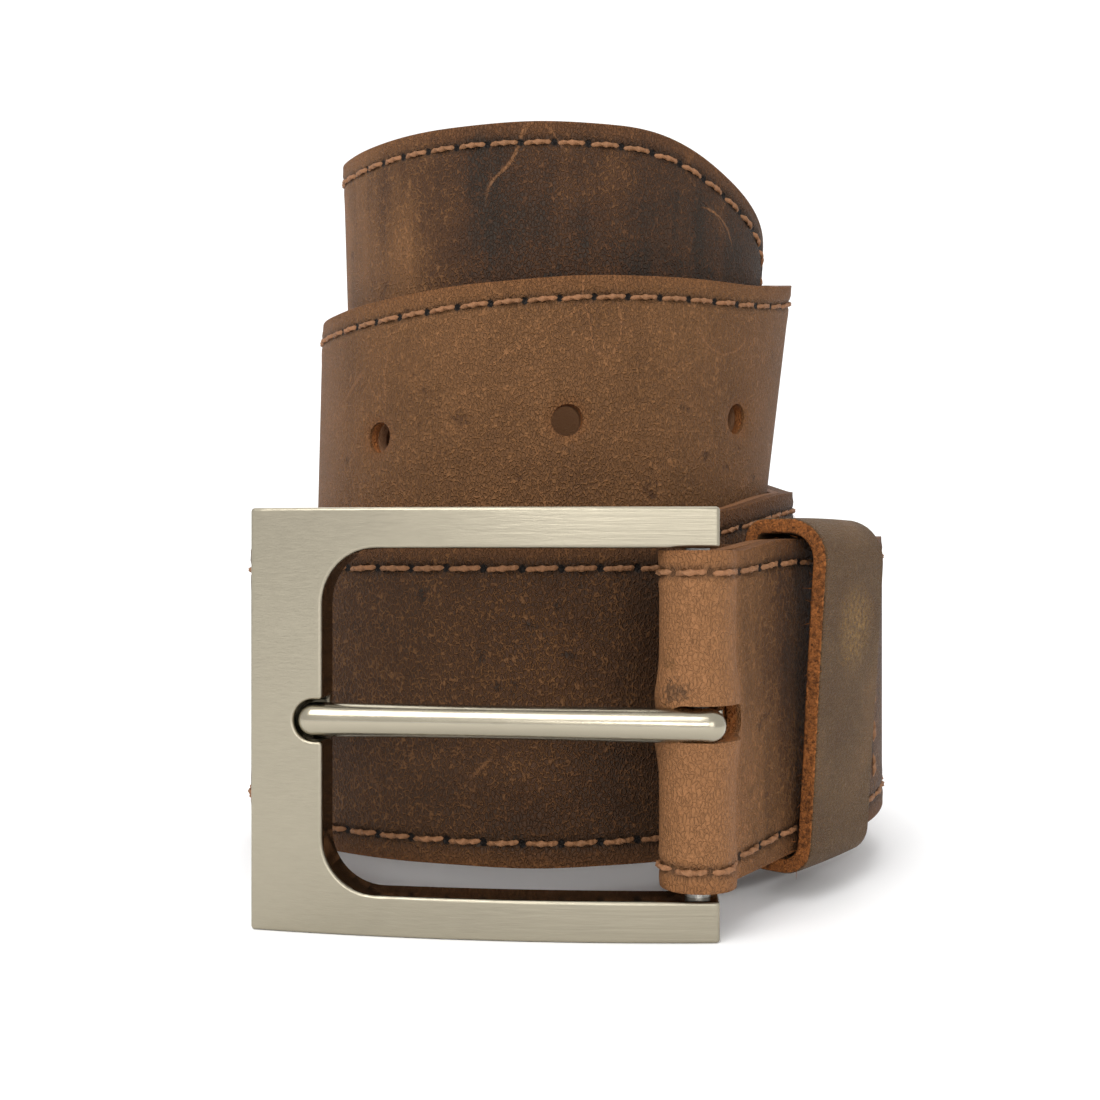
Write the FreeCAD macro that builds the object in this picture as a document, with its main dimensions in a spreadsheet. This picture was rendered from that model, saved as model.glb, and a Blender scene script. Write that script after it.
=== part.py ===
"""A gentleman's leather belt, rolled up and standing on the edge of its strap.

The strap is stitched from an outer leather and a lining. Its buckle end folds round a steel pin
held by the arms of an open buckle frame, and a leather keeper rides on the strap behind the fold.
The buckle faces -Y, +X is to its right, and z = 0 is the surface that the belt stands on.
"""
import FreeCAD, Part
import os
from bisect import bisect_right
from math import atan2, cos, hypot, pi, radians, sin, sqrt, tan

from FreeCAD import Placement, Rotation, Vector

os.makedirs("parts", exist_ok=True)
doc = FreeCAD.newDocument("belt")
sheet = doc.addObject("Spreadsheet::Sheet", "sizes")

SIZES = {
    # strap
    "strap_width": 40.0,
    "outer_thick": 2.0,
    "lining_thick": 1.5,
    "ply_gap": 0.05,
    "flesh_gap": 0.1,
    "tip_taper_length": 33.0,
    "tip_taper_slope": 16.0,
    "tip_corner_radius": 8.0,
    "shoulder_radius": 60.0,
    "hole_dia": 4.2,
    "hole_pitch": 29.8,
    "first_hole": 121.5,
    "hole_count": 7,
    # seams
    "seam_margin": 3.0,
    "thread_width": 0.8,
    "thread_height": 0.35,
    # fold round the buckle pin
    "fold_radius": 4.5,
    "fold_width": 38.6,
    "crease_radius": 3.0,
    "turnback_length": 48.0,
    "fold_heading": 50.5,
    "slot_height": 4.9,
    "slot_reach": 5.8,
    # buckle
    "pin_x": 14.9,
    "pin_y": -54.3,
    "pin_dia": 3.0,
    "pin_end": 1.2,
    "frame_height": 50.0,
    "frame_length": 55.2,
    "frame_thick": 5.2,
    "frame_bow": 226.0,
    "frame_overhang": 2.5,
    "frame_front": 4.46,
    "frame_yaw": -5.6,
    "arm_height": 4.8,
    "side_width": 8.9,
    "window_radius": 6.5,
    # prong
    "prong_dia": 4.1,
    "prong_length": 46.9,
    "prong_heel": 3.0,
    "prong_yaw": -7.2,
    "prong_height": 25.0,
    "eye_bore": 3.1,
    "eye_dia": 6.6,
    "notch_width": 4.9,
    "notch_floor": 0.15,
    # keeper
    "keeper_width": 16.5,
    "keeper_start": 18.6,
    "keeper_thick": 2.0,
    "keeper_inner": 41.4,
    "keeper_back": 2.8,
    "keeper_front_top": 5.2,
    "keeper_front_low": 3.6,
    "keeper_round": 2.6,
    "keeper_back_round": 0.8,
    "keeper_height": 26.4,
    "staple_wire": 0.6,
    "staple_crown": 9.0,
}
for row, (name, value) in enumerate(SIZES.items(), start=1):
    sheet.set(f"A{row}", name)
    sheet.set(f"B{row}", str(value))
    sheet.setAlias(f"B{row}", name)
doc.recompute()


def size(name):
    return float(sheet.get(name))


HALF = size("strap_width") / 2
PIN = Vector(size("pin_x"), size("pin_y"), 0)
HEADING = radians(size("fold_heading"))
ALONG = Vector(cos(HEADING), sin(HEADING), 0)
OUTWARD = Vector(sin(HEADING), -cos(HEADING), 0)
PLY_OFFSET = size("outer_thick") + size("flesh_gap")
SPACING = 5.0

# The grain face's mid-line past the straight length behind the buckle, one turn to a group:
# x, y, height of the strap's middle, and how far its upper edge leans outwards.
TURNS = [
    [
        (48.7, -6.0, 27.2, 0.0), (48.1, 9.0, 26.5, 0.0), (45.0, 28.0, 24.0, 0.0),
        (34.9, 44.7, 21.5, 0.0), (-0.8, 59.7, 19.85, 0.0), (-35.9, 44.1, 21.5, 0.0),
    ],
    [
        (-49.9, 8.0, 24.2, 0.0), (-46.3, -14.5, 25.2, 0.0), (-33.8, -34.0, 25.6, 0.0),
        (-19.3, -42.5, 25.7, 0.0), (-3.3, -45.7, 25.7, 0.0), (11.5, -42.5, 25.7, 0.0),
        (23.7, -33.8, 25.6, 0.0), (32.2, -23.6, 25.4, 0.0), (39.3, -11.6, 25.0, 0.0),
        (42.2, 2.0, 24.6, 0.0), (39.8, 25.8, 23.0, 0.0), (31.4, 41.0, 21.3, 0.0),
        (-0.8, 55.3, 19.9, 0.0), (-32.8, 40.8, 21.3, 0.0),
    ],
    [
        (-45.7, 8.0, 25.4, 0.0), (-42.3, -10.0, 27.0, 0.0), (-30.3, -25.5, 28.0, 0.0),
        (-1.8, -34.6, 28.5, 0.0), (20.8, -25.6, 30.3, 0.0), (32.8, -10.1, 33.4, 0.0),
        (37.9, 12.0, 35.0, 0.0), (35.8, 24.4, 37.0, 0.0), (28.2, 38.0, 41.5, 0.0),
        (-0.8, 50.9, 50.0, 0.0), (-29.6, 37.6, 57.5, 0.0),
    ],
    [
        (-40.8, 13.0, 62.0, -0.5), (-37.5, -3.0, 61.5, -0.4), (-28.9, -15.9, 61.4, -0.2),
        (-16.1, -23.7, 62.2, 0.0), (-0.8, -26.0, 63.1, 0.0), (13.8, -22.2, 63.8, 0.5),
        (25.6, -13.0, 64.6, 1.2), (33.3, -0.6, 66.8, 2.0), (35.2, 7.4, 68.8, 2.4),
        (32.0, 22.9, 72.0, 1.4), (25.2, 35.2, 76.0, 0.6), (-0.8, 46.5, 83.0, 0.0),
        (-26.4, 34.6, 87.5, 0.3),
    ],
    [
        (-36.5, 13.0, 89.4, 0.6), (-33.8, 0.3, 87.6, 0.5), (-26.3, -11.4, 86.7, 0.3),
        (-14.9, -19.2, 86.4, 0.0), (-0.9, -21.7, 86.2, 0.0), (12.3, -18.2, 85.9, 0.5),
        (23.1, -9.8, 85.2, 1.2), (30.3, 1.4, 84.3, 2.0), (32.5, 10.5, 83.5, 2.3),
    ],
]
# The straight length behind the buckle: distance from the pin, and height of the strap's middle.
STRAIGHT = [(0.0, 25.2), (8.0, 25.6), (16.0, 26.3), (24.0, 26.4), (31.0, 26.4), (38.0, 26.5)]


def spline(points, knots):
    curve = Part.BSplineCurve()
    curve.interpolate(Points=points, Parameters=knots)
    return curve


class Roll:
    """The grain face's mid-line from beside the pin to the tip, measured along the strap."""

    STEP = 0.5

    def __init__(self):
        rows = []
        for reach, height in STRAIGHT:
            spot = PIN + ALONG * reach + OUTWARD * PLY_OFFSET
            rows.append((spot.x, spot.y, height, 0.0))
        rows += [row for turn in TURNS for row in turn]
        knots = [0.0]
        for a, b in zip(rows, rows[1:]):
            knots.append(knots[-1] + hypot(b[0] - a[0], b[1] - a[1]))
        self.mid = spline([Vector(r[0], r[1], r[2]) for r in rows], knots)
        self.lean = spline([Vector(k, r[3], 0) for k, r in zip(knots, rows)], knots)
        count = int(knots[-1] / self.STEP) + 1
        self.knots = [knots[-1] * i / count for i in range(count + 1)]
        self.run = [0.0]
        for a, b in zip(self.knots, self.knots[1:]):
            p, q = self.mid.value(a), self.mid.value(b)
            self.run.append(self.run[-1] + hypot(q.x - p.x, q.y - p.y))
        self.length = self.run[-1]

    def at(self, s):
        """Point, outward normal and lean at the distance s."""
        i = min(max(bisect_right(self.run, s) - 1, 0), len(self.run) - 2)
        part = (s - self.run[i]) / (self.run[i + 1] - self.run[i])
        knot = self.knots[i] + (self.knots[i + 1] - self.knots[i]) * part
        slope = self.mid.tangent(knot)[0]
        normal = Vector(slope.y, -slope.x, 0).normalize()
        return self.mid.value(knot), normal, self.lean.value(knot).y


ROLL = Roll()


def smooth(x):
    x = min(max(x, 0.0), 1.0)
    return x * x * (3 - 2 * x)


def half_width(s):
    """Half the strap's width: a little narrower where it goes through the buckle."""
    fold = size("fold_width") / 2
    return fold + (HALF - fold) * smooth((s - 6.0) / 10.0)


def tip_outline():
    """Distances from the tip's end, each with its half width, from the shoulder to the end."""
    slope = radians(size("tip_taper_slope"))
    shoulder = size("shoulder_radius")
    corner = size("tip_corner_radius")
    start = size("tip_taper_length")
    rows = []
    for i in range(7):
        turn = slope * i / 6
        reach = start + shoulder * tan(slope / 2) - shoulder * sin(turn)
        rows.append((reach, HALF - shoulder * (1 - cos(turn))))
    end_width = HALF - start * tan(slope)
    tangent = corner * tan((pi / 2 - slope) / 2)
    last = (tangent * cos(slope), end_width + tangent * sin(slope))
    for i in range(1, 4):
        share = i / 4
        rows.append(tuple(a + (b - a) * share for a, b in zip(rows[6], last)))
    for i in range(9):
        turn = slope + (radians(84) - slope) * i / 8
        rows.append((corner * (1 - sin(turn)), end_width - tangent + corner * cos(turn)))
    return rows


def strap_samples(start):
    """Samples of the roll from start to the tip: point, normal, half width and lean."""
    outline = tip_outline()
    last = ROLL.length - outline[0][0]
    count = int((last - start) / SPACING)
    rows = []
    for i in range(count):
        s = start + (last - start) * i / count
        spot, normal, lean = ROLL.at(s)
        rows.append((spot, normal, half_width(s), lean))
    for reach, half in outline:
        spot, normal, lean = ROLL.at(ROLL.length - reach)
        rows.append((spot, normal, half, lean))
    return rows


def fold_samples():
    """Samples of the turned-back end and of the loop round the pin, up to the crease."""
    ring = size("fold_radius")
    crease = size("crease_radius")
    apart = ring + crease
    rise = PLY_OFFSET + crease
    reach = sqrt(apart ** 2 - rise ** 2)
    rows = []
    length = size("turnback_length")
    count = 12
    for i in range(count):
        s = length + (reach - length) * i / count
        spot, normal, _ = ROLL.at(s)
        rows.append((spot - normal * 2 * PLY_OFFSET, normal * -1, half_width(s), 0.0))
    height = ROLL.at(reach)[0].z
    half = half_width(reach)

    def add(away, side):
        """A sample at a place given along and across the strap, with its normal."""
        spot = PIN + ALONG * away[0] + OUTWARD * away[1] + Vector(0, 0, height)
        normal = ALONG * side[0] + OUTWARD * side[1]
        rows.append((spot, normal, half, 0.0))

    swing = atan2(rise, reach)
    for i in range(4):
        turn = pi / 2 - (pi / 2 - swing) * i / 4
        add((reach - crease * cos(turn), -rise + crease * sin(turn)), (cos(turn), -sin(turn)))
    for i in range(17):
        turn = swing + (2 * pi - 2 * swing) * i / 16
        side = (cos(turn), -sin(turn))
        add((ring * side[0], ring * side[1]), side)
    for i in range(3, 0, -1):
        turn = pi / 2 - (pi / 2 - swing) * i / 4
        add((reach - crease * cos(turn), rise - crease * sin(turn)), (cos(turn), sin(turn)))
    return rows, reach


def point(sample, across, depth):
    """A place on the strap: across its width from the middle, and depth below the grain face."""
    spot, normal, _, lean = sample
    return spot + normal * (lean * across / HALF - depth) + Vector(0, 0, across)


def ruled(a, b):
    """The face of straight lines between two curves that share their knots."""
    surface = Part.BSplineSurface()
    surface.buildFromPolesMultsKnots(
        [a.getPoles(), b.getPoles()], [2, 2], a.getMultiplicities(), [0, 1], a.getKnots(),
        False, False, 1, a.Degree)
    return surface.toShape()


def band(corners, span=12):
    """A solid between four long edges: corners holds four points at each station.

    Each side is cut into faces of span stations, so that its area and volume integrate well.
    """
    knots = [0.0]
    for a, b in zip(corners, corners[1:]):
        knots.append(knots[-1] + (b[0] - a[0]).Length + (b[2] - a[2]).Length)
    curves = [spline([row[i] for row in corners], knots) for i in range(4)]
    last = len(corners) - 1
    stops = list(range(0, last - span // 2, span)) + [last]
    faces = []
    for start, end in zip(stops, stops[1:]):
        pieces = [curve.copy() for curve in curves]
        for piece in pieces:
            piece.segment(knots[start], knots[end])
        faces += [ruled(pieces[i], pieces[(i + 1) % 4]) for i in range(4)]
    for row in (corners[0], corners[-1]):
        faces.append(Part.Face(Part.makePolygon(row + [row[0]])))
    shell = Part.makeShell(faces)
    shell.sewShape()
    solid = Part.makeSolid(shell)
    if solid.Volume < 0:
        solid.reverse()
    return solid


def ply(samples, top, bottom):
    """One leather of the strap, between two depths below the grain face."""
    rows = []
    for sample in samples:
        half = sample[2]
        rows.append([point(sample, half, top), point(sample, -half, top),
                     point(sample, -half, bottom), point(sample, half, bottom)])
    solid = band(rows)
    below = Part.makeBox(300, 300, 20, Vector(-150, -150, -20))
    return solid.cut(below)


def hole_places():
    first = ROLL.length - size("first_hole")
    return [first - size("hole_pitch") * i for i in range(int(size("hole_count")))]


def prong_holes():
    radius = size("hole_dia") / 2
    cutters = []
    for s in hole_places():
        spot, normal, _ = ROLL.at(s)
        cutters.append(Part.makeCylinder(radius, 6, spot + normal, normal * -1))
    return cutters


def prong_slot():
    """The oblong opening through the fold that lets the prong swing."""
    high = size("slot_height")
    reach = size("slot_reach")
    low = size("prong_height") - high / 2
    back = 4.0
    box = Part.makeBox(reach - high / 2 + 7.0, 12.0, high, PIN + Vector(-7.0, back - 12.0, low))
    end = Part.makeCylinder(high / 2, 12.0, PIN + Vector(reach - high / 2, back - 12.0, low + high / 2),
                            Vector(0, 1, 0))
    return box.fuse(end)


def feature(label, shape):
    part = doc.addObject("Part::Feature", label)
    part.Shape = shape
    part.Placement = Placement()
    return part


def make_strap():
    fold, crease = fold_samples()
    single = strap_samples(crease)
    outer = ply(fold + single, 0.0, size("outer_thick"))
    outer = outer.cut(prong_holes() + [prong_slot()])
    feature("strap_outer", outer)
    first = int((size("turnback_length") - crease) / SPACING) + 1
    lining_top = size("outer_thick") + size("ply_gap")
    lining = ply(single[first:], lining_top, lining_top + size("lining_thick"))
    feature("strap_lining", lining.cut(prong_holes()))


def ribbon(path, lift=0.02):
    """A flat thread on the grain face along a path of places, each a sample and a distance across."""
    wide = size("thread_width") / 2
    high = size("thread_height")
    rows = []
    for i, (sample, across) in enumerate(path):
        a, b = path[max(i - 1, 0)], path[min(i + 1, len(path) - 1)]
        step = point(b[0], b[1], 0) - point(a[0], a[1], 0)
        normal = sample[1]
        side = step.cross(normal).normalize() * wide
        spot = point(sample, across, 0)
        low, top = spot + normal * lift, spot + normal * (lift + high)
        rows.append([top + side, top - side, low - side, low + side])
    return band(rows)


def make_seams():
    """One thread runs along both edges and round the tip; another crosses the turned-back end."""
    margin = size("seam_margin")
    fold, crease = fold_samples()
    outline = tip_outline()
    body = strap_samples(crease)[:-len(outline)]
    start = 2
    upper = [(row, HALF - margin) for row in (fold + body)[start:]]
    corner = []
    for i, (reach, half) in enumerate(outline):
        before, after = outline[max(i - 1, 0)], outline[min(i + 1, len(outline) - 1)]
        along, across = after[0] - before[0], after[1] - before[1]
        run = hypot(along, across)
        inset = (reach - margin * across / run, half + margin * along / run)
        spot, normal, lean = ROLL.at(ROLL.length - inset[0])
        corner.append(((spot, normal, HALF, lean), inset[1]))
    upper += corner
    lower = [(row, -across) for row, across in reversed(upper)]
    feature("edge_seam_thread", ribbon(upper + lower))
    reach = size("turnback_length") - 4.0
    spot, normal, lean = ROLL.at(reach)
    inner = HALF - margin - 2.0
    rows = [((spot, normal, HALF, lean), inner * (1 - i / 4)) for i in range(9)]
    feature("turnback_seam_thread", ribbon(rows))


def origin_plane(body, role):
    return next(f for f in body.Origin.OriginFeatures if f.Role == role)


def new_sketch(body, name, role, offset=None):
    made = body.newObject("Sketcher::SketchObject", name)
    made.AttachmentSupport = [(origin_plane(body, role), "")]
    made.MapMode = "FlatFace"
    if offset is not None:
        made.AttachmentOffset = Placement(Vector(0, 0, offset), Rotation())
    return made


def line(a, b):
    return Part.LineSegment(Vector(a[0], a[1], 0), Vector(b[0], b[1], 0))


def arc(a, b, c):
    return Part.Arc(*(Vector(p[0], p[1], 0) for p in (a, b, c)))


def bow(x, radius):
    """The place on the frame's bowed front or back face at x, in the plan of the frame."""
    middle = size("frame_overhang") - size("frame_length") / 2
    centre = size("frame_bow") - size("frame_front")
    return (x, centre - sqrt(radius ** 2 - (x - middle) ** 2))


def make_frame():
    """The open buckle frame, bowed to the body, with a seat for the prong's tip."""
    body = doc.addObject("PartDesign::Body", "buckle_frame")
    right = size("frame_overhang")
    left = right - size("frame_length")
    middle = (left + right) / 2
    front = size("frame_bow")
    back = front - size("frame_thick")
    plan = new_sketch(body, "frame_plan", "XY_Plane")
    corners = [bow(left, front), bow(right, front), bow(right, back), bow(left, back)]
    plan.addGeometry(arc(corners[0], bow(middle, front), corners[1]))
    plan.addGeometry(line(corners[1], corners[2]))
    plan.addGeometry(arc(corners[2], bow(middle, back), corners[3]))
    plan.addGeometry(line(corners[3], corners[0]))
    pad = body.newObject("PartDesign::Pad", "frame_block")
    pad.Profile = plan
    pad.setExpression("Length", "sizes.frame_height")
    doc.recompute()

    window = new_sketch(body, "frame_window", "XZ_Plane")
    low, high = size("arm_height"), size("frame_height") - size("arm_height")
    side, out = left + size("side_width"), right + 3
    r = size("window_radius")
    bend = r * (1 - cos(radians(45)))
    window.addGeometry(line((out, low), (side + r, low)))
    window.addGeometry(arc((side + r, low), (side + bend, low + bend), (side, low + r)))
    window.addGeometry(line((side, low + r), (side, high - r)))
    window.addGeometry(arc((side, high - r), (side + bend, high - bend), (side + r, high)))
    window.addGeometry(line((side + r, high), (out, high)))
    window.addGeometry(line((out, high), (out, low)))
    cut = body.newObject("PartDesign::Pocket", "window_cut")
    cut.Profile = window
    cut.Type = 1
    cut.Midplane = True
    doc.recompute()

    notch = new_sketch(body, "prong_seat", "XZ_Plane", -size("notch_floor"))
    wide = size("notch_width") / 2
    level = size("prong_height")
    tip = -size("prong_length") - 0.4 + wide
    notch.addGeometry(line((side + 1, level - wide), (tip, level - wide)))
    notch.addGeometry(arc((tip, level - wide), (tip - wide, level), (tip, level + wide)))
    notch.addGeometry(line((tip, level + wide), (side + 1, level + wide)))
    notch.addGeometry(line((side + 1, level + wide), (side + 1, level - wide)))
    seat = body.newObject("PartDesign::Pocket", "seat_cut")
    seat.Profile = notch
    seat.Length = 8
    seat.Reversed = True
    doc.recompute()

    bore = new_sketch(body, "pin_bore", "XY_Plane", size("pin_end"))
    bore.addGeometry(Part.Circle(Vector(0, 0, 0), Vector(0, 0, 1), size("pin_dia") / 2))
    bores = body.newObject("PartDesign::Pocket", "pin_bores")
    bores.Profile = bore
    bores.Length = size("frame_height") - 2 * size("pin_end")
    bores.Reversed = True
    doc.recompute()
    body.Placement = Placement(PIN, Rotation(Vector(0, 0, 1), size("frame_yaw")))


def make_pin():
    pin = doc.addObject("Part::Cylinder", "buckle_pin")
    pin.setExpression("Radius", "sizes.pin_dia / 2")
    pin.setExpression("Height", "sizes.frame_height - 2 * sizes.pin_end")
    pin.Placement = Placement(PIN + Vector(0, 0, size("pin_end")), Rotation())


def primitive(kind, name, spot, turn=None, **sizes):
    made = doc.addObject(kind, name)
    for key, formula in sizes.items():
        made.setExpression(key, formula)
    made.Placement = Placement(spot, turn or Rotation())
    return made


def make_prong():
    """A round rod with domed ends, and the eye at its heel that turns on the pin."""
    away = (size("eye_bore") + size("prong_dia")) / 2
    rise = Rotation(Vector(0, 1, 0), 90)
    radius = size("prong_dia") / 2
    tip = Vector(-size("prong_length") + radius, -away, 0)
    heel = Vector(size("prong_heel") - radius, -away, 0)
    rod = primitive("Part::Cylinder", "prong_rod", tip, rise, Radius="sizes.prong_dia / 2",
                    Height="sizes.prong_length + sizes.prong_heel - sizes.prong_dia")
    point_dome = primitive("Part::Sphere", "prong_tip_dome", tip, Radius="sizes.prong_dia / 2")
    heel_dome = primitive("Part::Sphere", "prong_heel_dome", heel, Radius="sizes.prong_dia / 2")
    low = Vector(0, 0, -size("prong_dia") / 2)
    eye = primitive("Part::Cylinder", "prong_eye", low, Radius="sizes.eye_dia / 2",
                    Height="sizes.prong_dia")
    joined = doc.addObject("Part::MultiFuse", "prong_solid")
    joined.Shapes = [rod, point_dome, heel_dome, eye]
    hole = primitive("Part::Cylinder", "prong_eye_bore", low * 2, Radius="sizes.eye_bore / 2",
                     Height="2 * sizes.prong_dia")
    prong = doc.addObject("Part::Cut", "buckle_prong")
    prong.Base = joined
    prong.Tool = hole
    prong.Placement = Placement(PIN + Vector(0, 0, size("prong_height")),
                                Rotation(Vector(0, 0, 1), size("prong_yaw")))


def rounded_wire(corners):
    """A closed wire through corners, each a place and the radius that rounds it."""
    pieces = []
    for i, (spot, radius) in enumerate(corners):
        before = (corners[i - 1][0] - spot).normalize()
        after = (corners[(i + 1) % len(corners)][0] - spot).normalize()
        angle = before.getAngle(after)
        reach = radius / tan(angle / 2)
        middle = spot + (before + after).normalize() * (radius / sin(angle / 2) - radius)
        pieces.append((spot + before * reach, middle, spot + after * reach))
    return pieces


def add_outline(sketch, corners):
    pieces = rounded_wire(corners)
    for i, (start, middle, end) in enumerate(pieces):
        sketch.addGeometry(Part.Arc(start, middle, end))
        sketch.addGeometry(Part.LineSegment(end, pieces[(i + 1) % len(pieces)][0]))


def keeper_frame():
    """The keeper's own axes: X outwards from the strap, Y up and Z towards the buckle."""
    far_edge = size("keeper_start") + size("keeper_width")
    spot = PIN + ALONG * far_edge + Vector(0, 0, size("keeper_height"))
    turn = Rotation(OUTWARD, Vector(0, 0, 1), ALONG * -1, "XYZ")
    return Placement(spot, turn)


def make_keeper():
    """A leather loop round both layers, standing off the strap to leave room for its tip."""
    body = doc.addObject("PartDesign::Body", "keeper_loop")
    thick = size("keeper_thick")
    high = size("keeper_inner") / 2
    section = new_sketch(body, "keeper_section", "XY_Plane")
    for grow in (0.0, thick):
        back = -size("keeper_back") - grow
        low = size("keeper_front_low") + grow
        top = size("keeper_front_top") + grow
        r, s = size("keeper_round") + grow, size("keeper_back_round") + grow
        rise = high + grow
        add_outline(section, [
            (Vector(back, -rise, 0), s), (Vector(low, -rise, 0), r),
            (Vector(top, rise, 0), r), (Vector(back, rise, 0), s),
        ])
    pad = body.newObject("PartDesign::Pad", "keeper_band")
    pad.Profile = section
    pad.setExpression("Length", "sizes.keeper_width")
    body.Placement = keeper_frame()


def make_staples():
    """Two wire staples that close the keeper's ends, on the face that lies behind the strap."""
    wire = size("staple_wire")
    crown = size("staple_crown")
    back = -size("keeper_back") - size("keeper_thick")
    shapes = []
    for share in (0.3, 0.7):
        along = size("keeper_width") * share - wire / 2
        shapes.append(Part.makeBox(wire, crown, wire, Vector(back - wire, -crown / 2, along)))
    part = doc.addObject("Part::Feature", "keeper_staples")
    part.Shape = Part.makeCompound(shapes)
    part.Placement = keeper_frame()


NODES = [
    "strap_outer", "strap_lining", "edge_seam_thread", "turnback_seam_thread", "buckle_frame",
    "buckle_pin", "buckle_prong", "keeper_loop", "keeper_staples",
]

make_strap()
make_seams()
make_frame()
make_pin()
make_prong()
make_keeper()
make_staples()
doc.recompute()

for item in doc.Objects:
    if "Invalid" in item.State or "Error" in item.State:
        raise RuntimeError(f"{item.Label} failed: {item.State}")
for node in NODES:
    shape = doc.getObject(node).Shape
    if shape.isNull() or not shape.isValid():
        raise RuntimeError(f"{node} has no valid shape")
    print(f"{node}: {shape.Volume:.1f} mm3, {len(shape.Solids)} solid(s)")
for node in NODES:
    doc.getObject(node).Shape.exportStep(f"parts/{node}.step")
print(f"strap from the pin to the tip: {ROLL.length:.1f} mm")
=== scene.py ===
"""A gentleman's leather belt, rolled up and standing on the edge of its strap.

The strap is modelled flat, as it was cut, and then rolled: each vertex has a distance along the strap, a
place across it and a depth below the grain face. Lengths inside the modelling functions are millimetres.
"""

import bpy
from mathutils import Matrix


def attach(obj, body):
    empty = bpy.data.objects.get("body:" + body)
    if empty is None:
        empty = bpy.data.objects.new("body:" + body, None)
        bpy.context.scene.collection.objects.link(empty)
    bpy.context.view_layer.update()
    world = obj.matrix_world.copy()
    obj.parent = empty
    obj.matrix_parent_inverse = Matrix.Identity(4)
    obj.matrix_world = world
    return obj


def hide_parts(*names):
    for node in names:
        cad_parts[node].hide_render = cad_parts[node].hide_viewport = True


bl_info = {
    "name": "Rolled Leather Belt",
    "version": (1, 0, 0),
    "blender": (4, 5, 0),
    "location": "View3D > Sidebar > Belt",
    "description": "Builds a rolled leather belt with its buckle, prong and keeper",
    "category": "Object",
}

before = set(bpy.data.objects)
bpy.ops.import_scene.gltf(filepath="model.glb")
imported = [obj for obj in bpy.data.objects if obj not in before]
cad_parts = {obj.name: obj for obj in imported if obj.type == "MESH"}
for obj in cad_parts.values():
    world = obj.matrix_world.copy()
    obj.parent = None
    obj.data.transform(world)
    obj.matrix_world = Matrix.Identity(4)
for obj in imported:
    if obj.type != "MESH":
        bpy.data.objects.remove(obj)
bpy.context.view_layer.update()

from math import atan2, cos, hypot, pi, radians, sin, sqrt, tan

import bmesh
import bpy
import numpy as np
from bpy.props import FloatProperty, FloatVectorProperty, IntProperty, PointerProperty
from mathutils import Matrix, Vector

MM = 0.001

# ----------------------------------------
# Sizes and colours
# ----------------------------------------


def length(name, text, default):
    return FloatProperty(name=name, description=text, default=default * MM, min=0.0, unit="LENGTH")


def colour(name, text, default):
    return FloatVectorProperty(name=name, description=text, default=default, size=3, min=0.0, max=1.0,
                               subtype="COLOR")


class BeltStrapSizes(bpy.types.PropertyGroup):
    width: length("Width", "Width of the strap", 40.0)
    outer: length("Outer leather", "Thickness of the outer leather", 2.0)
    lining: length("Lining", "Thickness of the lining leather", 1.5)
    ply_gap: length("Ply gap", "Glue line between the two leathers", 0.05)
    flesh_gap: length("Flesh gap", "Gap between the strap and its turned-back end, halved", 0.1)
    edge_round: length("Edge rounding", "Radius of the burnished edges", 0.5)
    turnback: length("Turned-back end", "Length of leather folded back behind the buckle", 48.0)
    fold_width: length("Fold width", "Width of the strap where it goes round the pin", 39.0)
    fold_radius: length("Fold radius", "Radius of the grain face round the pin", 4.5)
    crease_radius: length("Crease radius", "Radius of the hollow where the fold's two layers meet", 3.0)
    hole: length("Hole", "Diameter of the prong holes", 4.5)
    hole_pitch: length("Hole pitch", "Distance between the prong holes", 29.8)
    first_hole: length("First hole", "Distance of the first prong hole from the tip", 121.5)
    hole_count: IntProperty(name="Holes", description="Number of prong holes", default=7, min=1)


class BeltSeamSizes(bpy.types.PropertyGroup):
    margin: length("Margin", "Distance of the seam from the strap's edge", 3.0)
    pitch: length("Stitch pitch", "Length of one stitch and its needle hole", 4.9)
    stitch: length("Stitch", "Length of thread that shows between two needle holes", 4.6)
    thread: length("Thread", "Diameter of the thread", 0.78)
    groove: length("Groove", "Depth of the channel that the thread is pulled into", 0.28)


class BeltBuckleSizes(bpy.types.PropertyGroup):
    height: length("Height", "Height of the buckle frame", 50.0)
    reach: length("Length", "Length of the buckle frame", 55.2)
    thick: length("Thickness", "Thickness of the buckle frame", 5.2)
    front: length("Front", "Distance of the frame's face from the pin's axis", 4.46)
    bow: length("Bow", "Radius that the frame's face is bowed to", 226.0)
    overhang: length("Overhang", "Length of the arms beyond the pin", 2.5)
    arm: length("Arm", "Height of the two arms", 4.8)
    side: length("Side bar", "Width of the side bar", 8.9)
    corner: length("Window corner", "Radius of the window's corners", 6.5)
    edge: length("Edge", "Rounding of the frame's edges", 0.45)
    prong: length("Prong", "Diameter of the prong", 4.1)
    prong_length: length("Prong length", "Distance of the prong's tip from the pin", 46.9)
    prong_heel: length("Prong heel", "Length of the prong behind the pin", 3.3)
    eye: length("Eye", "Diameter of the prong's eye", 5.9)
    bore: length("Bore", "Diameter of the hole in the prong's eye", 3.1)
    seat: length("Seat", "Width of the notch that the prong's tip lies in", 4.9)


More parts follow.
